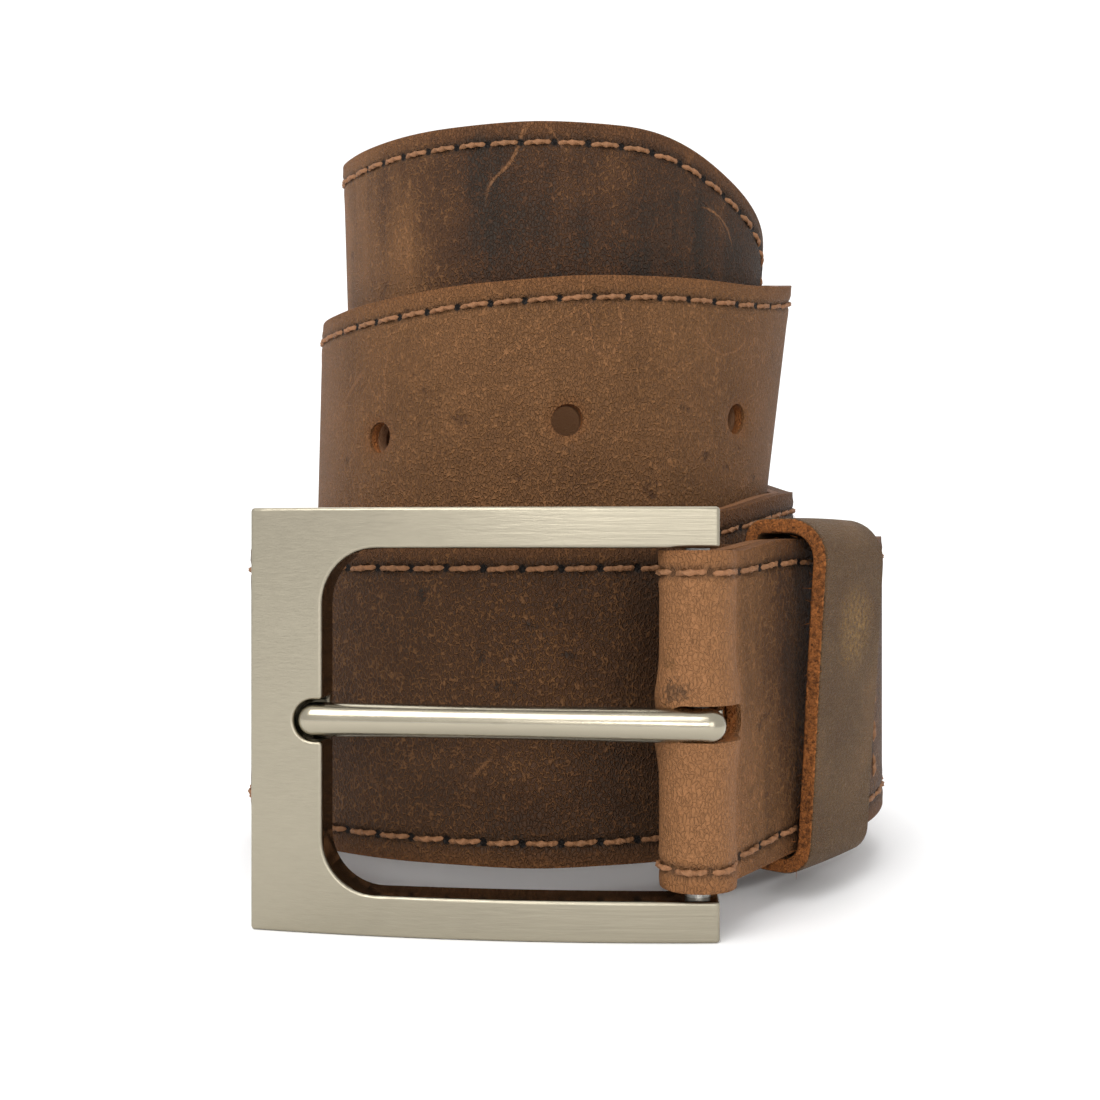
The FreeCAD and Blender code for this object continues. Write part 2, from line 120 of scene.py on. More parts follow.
class BeltKeeperSizes(bpy.types.PropertyGroup):
    width: length("Width", "Width of the keeper along the strap", 16.5)
    start: length("Start", "Distance of the keeper from the pin", 18.6)
    thick: length("Thickness", "Thickness of the keeper's leather", 2.0)
    inner: length("Inner height", "Height inside the keeper", 41.4)
    back: length("Back", "Distance of the keeper's back wall from the strap's middle", 2.8)
    front_top: length("Front, top", "Distance of the front wall from the strap's middle at the top", 5.4)
    front_low: length("Front, bottom", "Distance of the front wall at the bottom", 2.6)
    round: length("Top rounding", "Inner radius of the keeper's upper front corner", 3.4)
    low_round: length("Bottom rounding", "Inner radius of the keeper's lower front corner", 2.0)
    back_round: length("Back rounding", "Inner radius of the keeper's back corners", 0.8)
    level: length("Level", "Height of the keeper's middle", 26.4)


class BeltColours(bpy.types.PropertyGroup):
    dark: colour("Dark leather", "Oiled, unbent parts of the grain", (0.020, 0.0125, 0.0070))
    ruddy: colour("Ruddy leather", "Waxed grain on the shaded turns", (0.058, 0.0225, 0.0068))
    brown: colour("Brown leather", "Body colour of the grain", (0.155, 0.069, 0.0225))
    pale: colour("Pale leather", "Grain pulled up by bending and scuffs", (0.240, 0.106, 0.040))
    edge: colour("Burnished edge", "Edges of the strap", (0.175, 0.068, 0.020))
    raw: colour("Raw edge", "Cut edges of the keeper and of the slot", (0.34, 0.115, 0.028))
    olive: colour("Keeper", "Grain of the keeper", (0.125, 0.074, 0.031))
    # The keeper's yellowish patch colour is a painted highlight, not wear.
    painted_sheen: colour("Keeper stain", "Worn yellowish patch on the keeper", (0.30, 0.17, 0.05))
    lining: colour("Lining", "Inner leather", (0.21, 0.105, 0.055))
    thread: colour("Thread", "Seam thread", (0.27, 0.116, 0.046))
    nickel: colour("Nickel", "Satin nickel of the buckle", (0.372, 0.335, 0.256))
    steel: colour("Steel", "Pin and staples", (0.50, 0.49, 0.47))
    floor: colour("Floor", "Studio floor and backdrop", (0.93, 0.93, 0.93))


# ----------------------------------------
# The shape of the roll
# ----------------------------------------

PIN = (14.9, -54.3)
PIN_LEVEL = 25.0
HEADING = radians(50.5)
FRAME_YAW = radians(-5.6)
PRONG_YAW = radians(-7.2)

# The grain face's mid-line past the straight length behind the buckle, one turn to a group:
# x, y, height of the strap's middle, and how far its upper edge leans outwards.
TURNS = [
    [
        (48.7, -6.0, 27.2, 0.0), (48.1, 9.0, 26.5, 0.0), (45.0, 28.0, 24.0, 0.0),
        (34.9, 44.7, 21.5, 0.0), (-0.8, 59.7, 19.85, 0.0), (-35.9, 44.1, 21.5, 0.0),
    ],
    [
        (-49.9, 8.0, 24.2, 0.0), (-46.3, -14.5, 25.2, 0.0), (-33.8, -34.0, 25.6, 0.0),
        (-19.3, -42.5, 25.7, 0.0), (-3.3, -45.7, 25.7, 0.0), (11.5, -42.5, 25.7, 0.0),
        (23.7, -33.8, 25.6, 0.0), (32.2, -23.6, 25.4, 0.0), (39.3, -11.6, 25.0, 0.0),
        (42.2, 2.0, 24.6, 0.0), (39.8, 25.8, 23.0, 0.0), (31.4, 41.0, 21.3, 0.0),
        (-0.8, 55.3, 19.9, 0.0), (-32.8, 40.8, 21.3, 0.0),
    ],
    [
        (-45.7, 8.0, 25.4, 0.0), (-42.3, -10.0, 27.0, 0.0), (-30.3, -25.5, 28.0, 0.0),
        (-1.8, -34.6, 28.5, 0.0), (20.8, -25.6, 30.3, 0.0), (32.8, -10.1, 33.4, 0.0),
        (37.9, 12.0, 35.0, 0.0), (35.8, 24.4, 37.0, 0.0), (28.2, 38.0, 41.5, 0.0),
        (-0.8, 50.9, 50.0, 0.0), (-29.6, 37.6, 57.5, 0.0),
    ],
    [
        (-40.8, 13.0, 62.0, -0.5), (-37.5, -3.0, 61.5, -0.4), (-28.9, -15.9, 61.4, -0.2),
        (-16.1, -23.7, 62.2, 0.0), (-0.8, -26.0, 63.1, 0.0), (13.8, -22.2, 63.8, 0.5),
        (25.6, -13.0, 64.6, 1.2), (33.3, -0.6, 66.8, 2.0), (35.2, 7.4, 68.8, 2.4),
        (32.0, 22.9, 72.0, 1.4), (25.2, 35.2, 76.0, 0.6), (-0.8, 46.5, 83.0, 0.0),
        (-26.4, 34.6, 87.5, 0.3),
    ],
    [
        (-36.5, 13.0, 89.4, 0.6), (-33.8, 0.3, 87.6, 0.5), (-26.3, -11.4, 86.7, 0.3),
        (-14.9, -19.2, 86.4, 0.0), (-0.9, -21.7, 86.2, 0.0), (12.3, -18.2, 85.9, 0.5),
        (23.1, -9.8, 85.2, 1.2), (30.3, 1.4, 84.3, 2.0), (32.5, 10.5, 83.5, 2.3),
    ],
]
# The straight length behind the buckle: distance from the pin, and height of the strap's middle.
STRAIGHT = [(0.0, 25.2), (8.0, 25.6), (16.0, 26.3), (24.0, 26.4), (31.0, 26.4), (38.0, 26.5)]

# The strap's end: its taper, shoulder and corners.
TAPER_LENGTH = 33.0
TAPER = radians(16.0)
SHOULDER = 60.0
CORNER = 8.0


class Spline:
    """A smooth curve through rows of numbers, one row to a knot."""

    def __init__(self, knots, rows):
        self.knots = np.array(knots, float)
        self.rows = np.array(rows, float)
        self.gaps = np.diff(self.knots)
        slopes = np.diff(self.rows, axis=0) / self.gaps[:, None]
        matrix = np.eye(len(knots))
        right = np.zeros_like(self.rows)
        for i in range(1, len(knots) - 1):
            before, after = self.gaps[i - 1], self.gaps[i]
            matrix[i, i - 1:i + 2] = before, 2 * (before + after), after
            right[i] = 6 * (slopes[i] - slopes[i - 1])
        self.bends = np.linalg.solve(matrix, right)

    def at(self, knot):
        i = np.clip(np.searchsorted(self.knots, knot, side="right") - 1, 0, len(self.gaps) - 1)
        gap = self.gaps[i][:, None]
        away = (knot - self.knots[i])[:, None]
        first, last = self.bends[i], self.bends[i + 1]
        slope = (self.rows[i + 1] - self.rows[i]) / gap - gap * (2 * first + last) / 6
        return self.rows[i] + away * (slope + away * (first / 2 + away * (last - first) / (6 * gap)))


def smooth(x):
    x = np.clip(x, 0.0, 1.0)
    return x * x * (3 - 2 * x)


class Strap:
    """The strap in the roll: s runs along it from beside the pin to the tip, a across it, d into it."""

    def __init__(self, sizes):
        self.half = sizes.width / MM / 2
        self.outer = sizes.outer / MM
        self.offset = self.outer + sizes.flesh_gap / MM
        self.fold_half = sizes.fold_width / MM / 2
        self.ring = sizes.fold_radius / MM
        self.crease = sizes.crease_radius / MM
        self.turnback = sizes.turnback / MM
        along, out = self.axes()
        rows = []
        for reach, height in STRAIGHT:
            x, y = np.array(PIN) + along * reach + out * self.offset
            rows.append((x, y, height, 0.0))
        rows += [row for turn in TURNS for row in turn]
        knots = [0.0]
        for a, b in zip(rows, rows[1:]):
            knots.append(knots[-1] + hypot(b[0] - a[0], b[1] - a[1]))
        self.spline = Spline(knots, rows)
        self.fine = np.linspace(0, knots[-1], int(knots[-1] * 4))
        plan = self.spline.at(self.fine)[:, :2]
        steps = np.hypot(*np.diff(plan, axis=0).T)
        self.run = np.concatenate([[0.0], np.cumsum(steps)])
        self.length = self.run[-1]
        rise = self.offset + self.crease
        self.rise = rise
        self.reach = sqrt((self.ring + self.crease) ** 2 - rise ** 2)
        self.swing = atan2(rise, self.reach)
        self.crease_run = self.crease * (pi / 2 - self.swing)
        self.ring_run = self.ring * (2 * pi - 2 * self.swing)
        self.fold_run = 2 * self.crease_run + self.ring_run
        self.start = self.reach - self.fold_run - (self.turnback - self.reach)

    @staticmethod
    def axes():
        """Unit vectors along the straight length and out of its grain face."""
        return np.array([cos(HEADING), sin(HEADING)]), np.array([sin(HEADING), -cos(HEADING)])

    def roll(self, s):
        """Place, outward normal and lean of the grain face's mid-line."""
        knot = np.interp(s, self.run, self.fine)
        rows = self.spline.at(knot)
        step = self.spline.at(knot + 0.01) - self.spline.at(knot - 0.01)
        run = np.hypot(step[:, 0], step[:, 1])
        normal = np.stack([step[:, 1] / run, -step[:, 0] / run], axis=1)
        return rows[:, :2], rows[:, 2], normal, rows[:, 3]

    def tip_half(self, reach):
        """Half the strap's width at a distance from the tip's end."""
        end = self.half - TAPER_LENGTH * tan(TAPER)
        first = TAPER_LENGTH + SHOULDER * tan(TAPER / 2)
        last = first - SHOULDER * sin(TAPER)
        centre = end - CORNER * tan((pi / 2 - TAPER) / 2)
        inside = np.clip(first - reach, 0, None)
        shoulder = self.half - SHOULDER + np.sqrt(np.clip(SHOULDER ** 2 - inside ** 2, 0, None))
        straight = end + reach * tan(TAPER)
        corner = centre + np.sqrt(np.clip(CORNER ** 2 - (CORNER - reach) ** 2, 0, None))
        half = np.where(reach > last, shoulder, straight)
        half = np.where(reach > first, self.half, half)
        return np.where(reach < CORNER * (1 - sin(TAPER)), corner, half)

    def half_at(self, s):
        """Half the strap's width anywhere along it."""
        back = np.where(s < self.reach, self.reach - (s + self.fold_run), s)
        along = np.where(s < self.reach, np.clip(back + self.reach, 0, None), s)
        body = self.fold_half + (self.half - self.fold_half) * smooth((along - 6.0) / 10.0)
        return np.minimum(body, self.tip_half(self.length - s))

    def place(self, s, a, d):
        """Points in space for flat places on the strap."""
        along, out = self.axes()
        q = self.reach - s
        behind = q - self.fold_run
        turned = behind > 0
        follow = np.where(turned, self.reach + behind, np.maximum(s, self.reach))
        spot, level, normal, lean = self.roll(follow)
        spot = np.where(turned[:, None], spot - normal * 2 * self.offset, spot)
        normal = np.where(turned[:, None], -normal, normal)
        in_fold = (q > 0) & ~turned

        local = np.zeros((len(s), 2))
        side = np.zeros((len(s), 2))
        near = q < self.crease_run
        turn = pi / 2 - q / self.crease
        c, n = np.cos(turn), np.sin(turn)
        local[near] = np.stack([self.reach - self.crease * c, self.rise - self.crease * n], 1)[near]
        side[near] = np.stack([c, n], 1)[near]
        far = q > self.crease_run + self.ring_run
        turn = self.swing + (q - self.crease_run - self.ring_run) / self.crease
        c, n = np.cos(turn), np.sin(turn)
        local[far] = np.stack([self.reach - self.crease * c, -self.rise + self.crease * n], 1)[far]
        side[far] = np.stack([c, -n], 1)[far]
        ring = ~near & ~far
        turn = 2 * pi - self.swing - (q - self.crease_run) / self.ring
        c, n = np.cos(turn), np.sin(turn)
        local[ring] = self.ring * np.stack([c, -n], 1)[ring]
        side[ring] = np.stack([c, -n], 1)[ring]
        folded = np.array(PIN) + local[:, :1] * along + local[:, 1:] * out
        folded_normal = side[:, :1] * along + side[:, 1:] * out
        spot = np.where(in_fold[:, None], folded, spot)
        normal = np.where(in_fold[:, None], folded_normal, normal)
        shift = lean * a / self.half - d
        plan = spot + normal * shift[:, None]
        return np.column_stack([plan, level + a])


class Seam:
    """The stitched line on the flat strap: places at a distance run along it."""

    def __init__(self, points):
        self.points = np.array(points, float)
        steps = np.hypot(*np.diff(self.points, axis=0).T)
        self.runs = np.concatenate([[0.0], np.cumsum(steps)])
        self.length = self.runs[-1]

    def at(self, run):
        spot = np.column_stack([np.interp(run, self.runs, self.points[:, i]) for i in range(2)])
        ahead = np.column_stack([np.interp(run + 0.3, self.runs, self.points[:, i]) for i in range(2)])
        behind = np.column_stack([np.interp(run - 0.3, self.runs, self.points[:, i]) for i in range(2)])
        step = ahead - behind
        step /= np.hypot(step[:, 0], step[:, 1])[:, None]
        return spot, np.column_stack([-step[:, 1], step[:, 0]])

    def nearest(self, places):
        """Distance along the seam and distance from it, for flat places near it."""
        best = np.full(len(places), 1e9)
        run = np.zeros(len(places))
        for i in range(len(self.points) - 1):
            a, b = self.points[i], self.points[i + 1]
            step = b - a
            size = hypot(*step)
            share = np.clip(((places - a) @ step) / size ** 2, 0, 1)
            away = np.hypot(*(places - a - share[:, None] * step).T)
            closer = away < best
            best[closer] = away[closer]
            run[closer] = self.runs[i] + share[closer] * size
        return run, best


def edge_seam(strap, margin):
    """The seam along both edges and round the tip."""
    corner = CORNER - margin
    end = strap.half - TAPER_LENGTH * tan(TAPER)
    centre = end - CORNER * tan((pi / 2 - TAPER) / 2)
    line = strap.half - margin
    upper = [(strap.start + 6.0, line)]
    first = TAPER_LENGTH + SHOULDER * tan(TAPER / 2)
    for i in range(7):
        turn = TAPER * i / 6
        radius = SHOULDER - margin
        upper.append((strap.length - first + radius * sin(turn), line - radius * (1 - cos(turn))))
    for i in range(13):
        turn = TAPER + (pi / 2 - TAPER) * i / 12
        upper.append((strap.length - CORNER + corner * sin(turn), centre + corner * cos(turn)))
    return Seam(upper + [(s, -a) for s, a in reversed(upper)])


def cross_seam(strap):
    """The row of stitches that holds the turned-back end."""
    s = strap.turnback - 4.0
    reach = strap.half - 5.0
    return Seam([(s, reach), (s, -reach)])


# ----------------------------------------
# Making meshes
# ----------------------------------------


def new_piece(name, mesh, body, slot, *nodes):
    """Links a finished mesh as a piece that rides on a body and stands for CAD nodes."""
    piece = bpy.data.objects.new(name, mesh)
    bpy.context.scene.collection.objects.link(piece)
    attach(piece, body)
    if nodes:
        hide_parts(*nodes)
    return piece


def coordinates(mesh):
    places = np.empty(len(mesh.vertices) * 3)
    mesh.vertices.foreach_get("co", places)
    return places.reshape(-1, 3)


def set_coordinates(mesh, places):
    """Places in millimetres become the mesh's vertices, in metres."""
    mesh.vertices.foreach_set("co", (places * MM).ravel())
    mesh.update()


def add_attribute(mesh, name, values):
    """A number or a vector for every vertex, for the materials to read."""
    kind, key = ("FLOAT_VECTOR", "vector") if values.ndim == 2 else ("FLOAT", "value")
    mesh.attributes.new(name, kind, "POINT").data.foreach_set(key, values.ravel())


def to_mesh(bm, name):
    mesh = bpy.data.meshes.new(name)
    bm.to_mesh(mesh)
    bm.free()
    return mesh


def shade(mesh, angle=40.0):
    """Smooth faces that stay crisp at edges sharper than an angle."""
    mesh.shade_smooth()
    mesh.set_sharp_from_angle(angle=radians(angle))


def sheet_of(columns, rows):
    """A flat sheet with grid lines at the columns along it and at the rows across it."""
    bm = bmesh.new()
    bmesh.ops.create_grid(bm, x_segments=len(columns) - 1, y_segments=len(rows) - 1, size=1.0)
    for v in bm.verts:
        i = round((v.co.x + 1) / 2 * (len(columns) - 1))
        j = round((v.co.y + 1) / 2 * (len(rows) - 1))
        v.co = (columns[i], rows[j], 0.0)
    return bm


def open_hole(bm, centre, spine, block, radius):
    """Cuts a round-ended hole in a flat sheet, as a few rings of faces that turn a block into it."""
    def inside(x, y, more):
        return abs(x - centre[0]) < spine + block + more and abs(y - centre[1]) < block + more

    doomed = [f for f in bm.faces if inside(*f.calc_center_median().xy, 0.0)]
    bmesh.ops.delete(bm, geom=doomed, context="FACES")
    rim = [e for e in bm.edges if e.is_boundary and all(inside(*v.co.xy, 0.45) for v in e.verts)]
    for share in (0.5, 0.2, 0.0):
        made = bmesh.ops.extrude_edge_only(bm, edges=rim)["geom"]
        rim = [e for e in made if isinstance(e, bmesh.types.BMEdge)]
        for v in (g for g in made if isinstance(g, bmesh.types.BMVert)):
            x, y = v.co.x - centre[0], v.co.y - centre[1]
            along = min(max(x, -spine), spine)
            away = Vector((x - along, y))
            goal = away.normalized() * radius
            spot = Vector((along, 0)) + goal.lerp(away, share)
            v.co = (centre[0] + spot.x, centre[1] + spot.y, 0.0)
        rim = [e for e in rim if e.is_boundary]


def thicken(bm, thick, edge, segments=3):
    """Gives a flat sheet its thickness and rounds its rims, as far as its shortest rim face allows."""
    made = bmesh.ops.extrude_face_region(bm, geom=bm.faces[:], use_keep_orig=True)["geom"]
    lower = [g for g in made if isinstance(g, bmesh.types.BMVert)]
    bmesh.ops.translate(bm, verts=lower, vec=(0, 0, -thick))
    bmesh.ops.recalc_face_normals(bm, faces=bm.faces[:])
    bm.normal_update()
    rims = []
    for e in bm.edges:
        if len(e.link_faces) == 2:
            levels = sorted(abs(f.normal.z) for f in e.link_faces)
            if levels[0] < 0.5 < levels[1]:
                rims.append(e)
    bmesh.ops.bevel(bm, geom=rims, offset=edge, offset_type="OFFSET", segments=segments, profile=0.5,
                    affect="EDGES", clamp_overlap=True, material=-1)


def spread(start, stop, step):
    """Evenly spaced places from start to just before stop, about a step apart."""
    count = max(1, round((stop - start) / step))
    return [start + (stop - start) * i / count for i in range(count)]


# Square blocks of the sheet's grid that the holes are cut from, and the long slot for the prong.
HOLE_BLOCK = 3.2
HOLE_CELLS = 8
SLOT_CENTRE = -1.45
SLOT_SPINE = 5.15
SLOT_RADIUS = 2.15
SLOT_LEVEL = -0.2

# Grid lines across the strap, close together at the edge and along the seam.
EDGE_ROWS = [
    20.0, 19.2, 18.4, 17.8, 17.4, 17.15, 16.85, 16.6, 16.1, 15.2, 13.6, 11.8, 10.0, 8.2, 6.4, 4.8,
]
FOLD_ROWS = EDGE_ROWS + [HOLE_BLOCK * (1 - i / (HOLE_CELLS / 2)) for i in range(HOLE_CELLS // 2)]

# Grid spacing along the strap, by how much each part bends.
PLAIN_STEP = 1.7
FOLD_STEP = 0.8
BEHIND_STEP = 1.3
TURNBACK_STEP = 3.0
TIP_STEP = 0.9
TIP_ARC_STEPS = 14


def strap_columns(strap, start, holes):
    """Grid lines along the strap: fine in the fold, round the holes and at the tip."""
    columns, here = [], start
    if start < 0:
        for stop, step in (
            (strap.reach - strap.fold_run - 3.0, TURNBACK_STEP),
            (SLOT_CENTRE - SLOT_SPINE - HOLE_BLOCK, FOLD_STEP),
            (SLOT_CENTRE + SLOT_SPINE + HOLE_BLOCK, FOLD_STEP),
            (20.0, FOLD_STEP),
            (60.0, BEHIND_STEP),
        ):
            columns += spread(here, stop, step)
            here = stop
    for s in holes:
        columns += spread(here, s - HOLE_BLOCK, PLAIN_STEP)
        columns += spread(s - HOLE_BLOCK, s + HOLE_BLOCK, 2 * HOLE_BLOCK / HOLE_CELLS)
        here = s + HOLE_BLOCK
    columns += spread(here, strap.length - 45.0, PLAIN_STEP)
    columns += spread(strap.length - 45.0, strap.length - 10.0, TIP_STEP)
    columns += [strap.length - CORNER * (1 - sin(turn)) - 2.0 * (1 - i / TIP_ARC_STEPS) ** 2
                for i, turn in enumerate(np.linspace(0.0, pi / 2, TIP_ARC_STEPS + 1))]
    return columns


def strap_rows():
    return [-row for row in FOLD_ROWS] + [0.0] + list(reversed(FOLD_ROWS))


def fit_width(strap, places):
    """Moves flat places so that the sheet has the strap's true outline, margins kept."""
    s, a = places[:, 0], places[:, 1]
    half = strap.half_at(s)
    inner = strap.half - 6.0
    kept = np.sign(a) * np.where(np.abs(a) > inner, half - strap.half + np.abs(a),
                                 np.abs(a) * (half - 6.0) / inner)
    scaled = a * half / strap.half
    share = smooth((strap.length - s - 8.0) / 12.0)
    places[:, 1] = scaled + (kept - scaled) * share


def hole_places(strap, sizes):
    first = strap.length - sizes.first_hole / MM
    return sorted(first - sizes.hole_pitch / MM * i for i in range(sizes.hole_count))


def wander(x, seed):
    """A smooth number between about -1 and 1 that changes along x."""
    return (np.sin(x * 0.11 + seed) + np.sin(x * 0.043 + 2.1 * seed) + np.sin(x * 0.27 + 3.7 * seed)) / 3


def roll_up(mesh, strap, seam, holes, groove, top):
    """Takes a flat mesh to its place in the roll and leaves its flat places as attributes."""
    flat = coordinates(mesh)
    fit_width(strap, flat)
    s, a, d = flat[:, 0], flat[:, 1], top - flat[:, 2]
    off = np.abs(np.abs(a) - seam.points[0, 1])
    run = np.where(a > 0, s - seam.points[0, 0], seam.length - (s - seam.points[0, 0]))
    around = np.min([np.hypot(s - hole, a) for hole in holes], axis=0)
    tip = s > strap.length - 50.0
    run[tip], off[tip] = seam.nearest(flat[tip][:, :2])
    face = smooth(1.0 - d / 0.6)
    sink = groove * np.exp(-(off / 0.62) ** 2) * face
    sink += 0.35 * np.exp(-(np.clip(around - 2.1, 0, None) / 1.1) ** 2) * face
    edge = smooth((np.abs(a) - strap.half_at(s) + 3.0) / 2.6)
    sink -= 0.10 * np.exp(-((off - 1.3) / 0.6) ** 2) * face
    beside = np.abs(a) - 2.45
    swell = 0.55 * np.exp(-(beside / 2.6) ** 2) * smooth((9.0 - s) / 3.0) * smooth((s + 16.0) / 4.0)
    sway = 0.10 * wander(s, 1.0) * (1 - edge) + 0.14 * wander(s + a * 2, 2.0) * edge
    lift = 0.12 * wander(s * 1.3, 4.0) * np.abs(a) / strap.half
    places = strap.place(s, a + lift, d + sink - swell + sway)
    add_attribute(mesh, "flat", np.column_stack([s, a, -d]) * MM)
    add_attribute(mesh, "seam_run", run * MM)
    add_attribute(mesh, "seam_off", off * MM)
    add_attribute(mesh, "hole", around * MM)
    add_attribute(mesh, "margin", (strap.half_at(s) - np.abs(a)) * MM)
    set_coordinates(mesh, places)
    shade(mesh)


def stitch_template(length, radius, turns=1.5, rings=8, sides=6):
    """One stitch of two twisted plies along X, flattened and tapered at its ends."""
    bm = bmesh.new()
    bmesh.ops.create_cone(bm, cap_ends=True, segments=sides, radius1=radius, radius2=radius, depth=length,
                          matrix=Matrix.Rotation(pi / 2, 4, "Y"))
    long = [e for e in bm.edges if abs(e.verts[0].co.x - e.verts[1].co.x) > length / 2]
    bmesh.ops.subdivide_edges(bm, edges=long, cuts=rings - 1)
    for v in bm.verts:
        share = v.co.x / length
        turn = Matrix.Rotation(share * turns * 2 * pi, 3, "X")
        flat = turn @ Vector((0, v.co.y, v.co.z * 0.62))
        slim = 1.0 - 0.45 * abs(2 * share) ** 4
        v.co = (v.co.x, flat.y * slim * 1.1, flat.z * slim)
    return to_mesh(bm, "stitch_template")


def stitch_row(strap, seam, sizes, face_depth=0.0, sign=1.0):
    """Single stitches along a seam on one face of the strap.

    A sign of -1 mirrors them on to the other face, which leaves their own faces pointing inwards.
    """
    pitch = seam.length / round(seam.length * MM / sizes.pitch)
    count = round(seam.length / pitch)
    size = sizes.stitch / MM
    template = stitch_template(size, sizes.thread / MM / 2)
    shape = coordinates(template)
    bm = bmesh.new()
    for i in range(count):
        bm.from_mesh(template)
    mesh = to_mesh(bm, "stitches")
    rng = np.random.default_rng(7)
    centre = (np.arange(count) + 0.5) * pitch
    slant = rng.normal(0.10, 0.05, count)
    x, y, z = (np.tile(shape[:, i], count) for i in range(3))
    each = np.repeat(np.arange(count), len(shape))
    run = centre[each] + x
    spot, normal = seam.at(run)
    across = y + slant[each] * x / size * 2
    height = 0.06 - 0.66 * np.abs(2 * x / size) ** 3 + z + rng.normal(0, 0.03, count)[each]
    s = spot[:, 0] + normal[:, 0] * across
    a = spot[:, 1] + normal[:, 1] * across
    d = face_depth - sign * height
    add_attribute(mesh, "twist", np.column_stack([x, y, z]) * MM)
    set_coordinates(mesh, strap.place(s, a, d))
    shade(mesh, 80.0)
    bpy.data.meshes.remove(template)
    return mesh


# ----------------------------------------
# Materials
# ----------------------------------------


class Signal:
    """One socket of a material's nodes. Arithmetic on it adds Math nodes."""

    def __init__(self, tree, socket=None):
        self.tree = tree
        self.socket = socket

    def node(self, kind, settings=None, inputs=None, output=0):
        """Any node: settings are set first, then the values or links of its sockets."""
        made = self.tree.nodes.new("ShaderNode" + kind)
        for key, value in (settings or {}).items():
            setattr(made, key, value)
        for key, value in (inputs or {}).items():
            if isinstance(value, Signal):
                self.tree.links.new(value.socket, made.inputs[key])
            else:
                made.inputs[key].default_value = value
        return Signal(self.tree, made.outputs[output])

    def math(self, operation, *values):
        return self.node("Math", {"operation": operation}, dict(enumerate(values)))

    def __add__(self, other):
        return self.math("ADD", self, other)

    __radd__ = __add__

    def __sub__(self, other):
        return self.math("SUBTRACT", self, other)

    def __rsub__(self, other):
        return self.math("SUBTRACT", other, self)

    def __mul__(self, other):
        return self.math("MULTIPLY", self, other)

    __rmul__ = __mul__

    def __truediv__(self, other):
        return self.math("DIVIDE", self, other)

    def __pow__(self, other):
        return self.math("POWER", self, other)

    def __abs__(self):
        return self.math("ABSOLUTE", self)

    def clamp(self):
        return self.node("Clamp", {}, {0: self})

    def step(self, low, high):
        """Runs smoothly from 0 at low to 1 at high."""
        values = {"Value": self, "From Min": low, "From Max": high, "To Min": 0.0, "To Max": 1.0}
        if low > high:
            values.update({"From Min": high, "From Max": low, "To Min": 1.0, "To Max": 0.0})
        return self.node("MapRange", {"interpolation_type": "SMOOTHSTEP"}, values)

    def mix(self, a, b):
        """The colour a where this is 0 and b where it is 1."""
        return self.node("Mix", {"data_type": "RGBA"}, {0: self, 6: a, 7: b}, 2)

    def noise(self, scale, detail=4.0, roughness=0.55, distortion=0.0):
        """Noise over a vector, in features to the metre."""
        return self.node("TexNoise", {}, {"Vector": self, "Scale": scale, "Detail": detail,
                                          "Roughness": roughness, "Distortion": distortion})

    def cells(self, scale, feature="F1"):
        return self.node("TexVoronoi", {"feature": feature}, {"Vector": self, "Scale": scale})

    def placed(self, location=(0, 0, 0), rotation=(0, 0, 0), scale=(1, 1, 1)):
        return self.node("Mapping", {}, {"Vector": self, "Location": location, "Rotation": rotation,
                                         "Scale": scale})

    def part(self, axis):
        """One part of a vector: 0, 1 or 2."""
        return self.node("SeparateXYZ", {}, {0: self}, axis)

    def attribute(self, name, output=2):
        return self.node("Attribute", {"attribute_name": name}, {}, output)

    def bump(self, strength, distance, normal=None):
        inputs = {"Height": self, "Strength": strength, "Distance": distance}
        if normal is not None:
            inputs["Normal"] = normal
        return self.node("Bump", {}, inputs)


def rgb(value):
    return (*value, 1.0)


def new_material(name):
    """A material with a Principled shader; returns it, a signal to start from and the shader."""
    material = bpy.data.materials.new(name)
    material.use_nodes = True
    shader = material.node_tree.nodes["Principled BSDF"]
    return material, Signal(material.node_tree), shader


def wire(signal, shader, name):
    signal.tree.links.new(signal.socket, shader.inputs[name])


def grain_of(flat, size):
    """Fine slanted leather grain: its height, the stray fibres and the pale network of creases."""
    drift = flat.node("TexNoise", {}, {"Vector": flat, "Scale": 900.0 / size, "Detail": 2.0}, 1)
    drift = drift.node("VectorMath", {"operation": "SCALE"}, {0: drift, 3: 0.0007 * size})
    bent = drift.node("VectorMath", {"operation": "ADD"}, {0: drift, 1: flat})
    bent = bent.placed(rotation=(0, 0, radians(25)), scale=(1.0, 0.6, 1.0))
    net = bent.cells(2150.0 / size, "DISTANCE_TO_EDGE").step(0.20, 0.0)
    fibre = bent.noise(2600.0 / size, 3.0, 0.6, 0.4)
    return fibre * 0.5 + net * 0.6, fibre, net * flat.noise(130.0, 3.0).step(0.0, 0.65)


def scratches_of(flat, turn, size, seed, rare):
    """Thin pale lines where the wax has been pulled: stretched, wandering cell borders."""
    drift = flat.node("TexNoise", {}, {"Vector": flat, "Scale": 45.0, "Detail": 2.0}, 1)
    drift = drift.node("VectorMath", {"operation": "SCALE"}, {0: drift, 3: 0.012})
    bent = drift.node("VectorMath", {"operation": "ADD"}, {0: drift, 1: flat})
    bent = bent.placed(location=(seed, 0, 0), rotation=(0, 0, turn), scale=(1.0, 0.4, 1.0))
    where = flat.placed(location=(0, seed, 0)).noise(40.0, 2.0).step(rare, rare + 0.08)
    return bent.cells(size, "DISTANCE_TO_EDGE").step(0.008, 0.002) * where


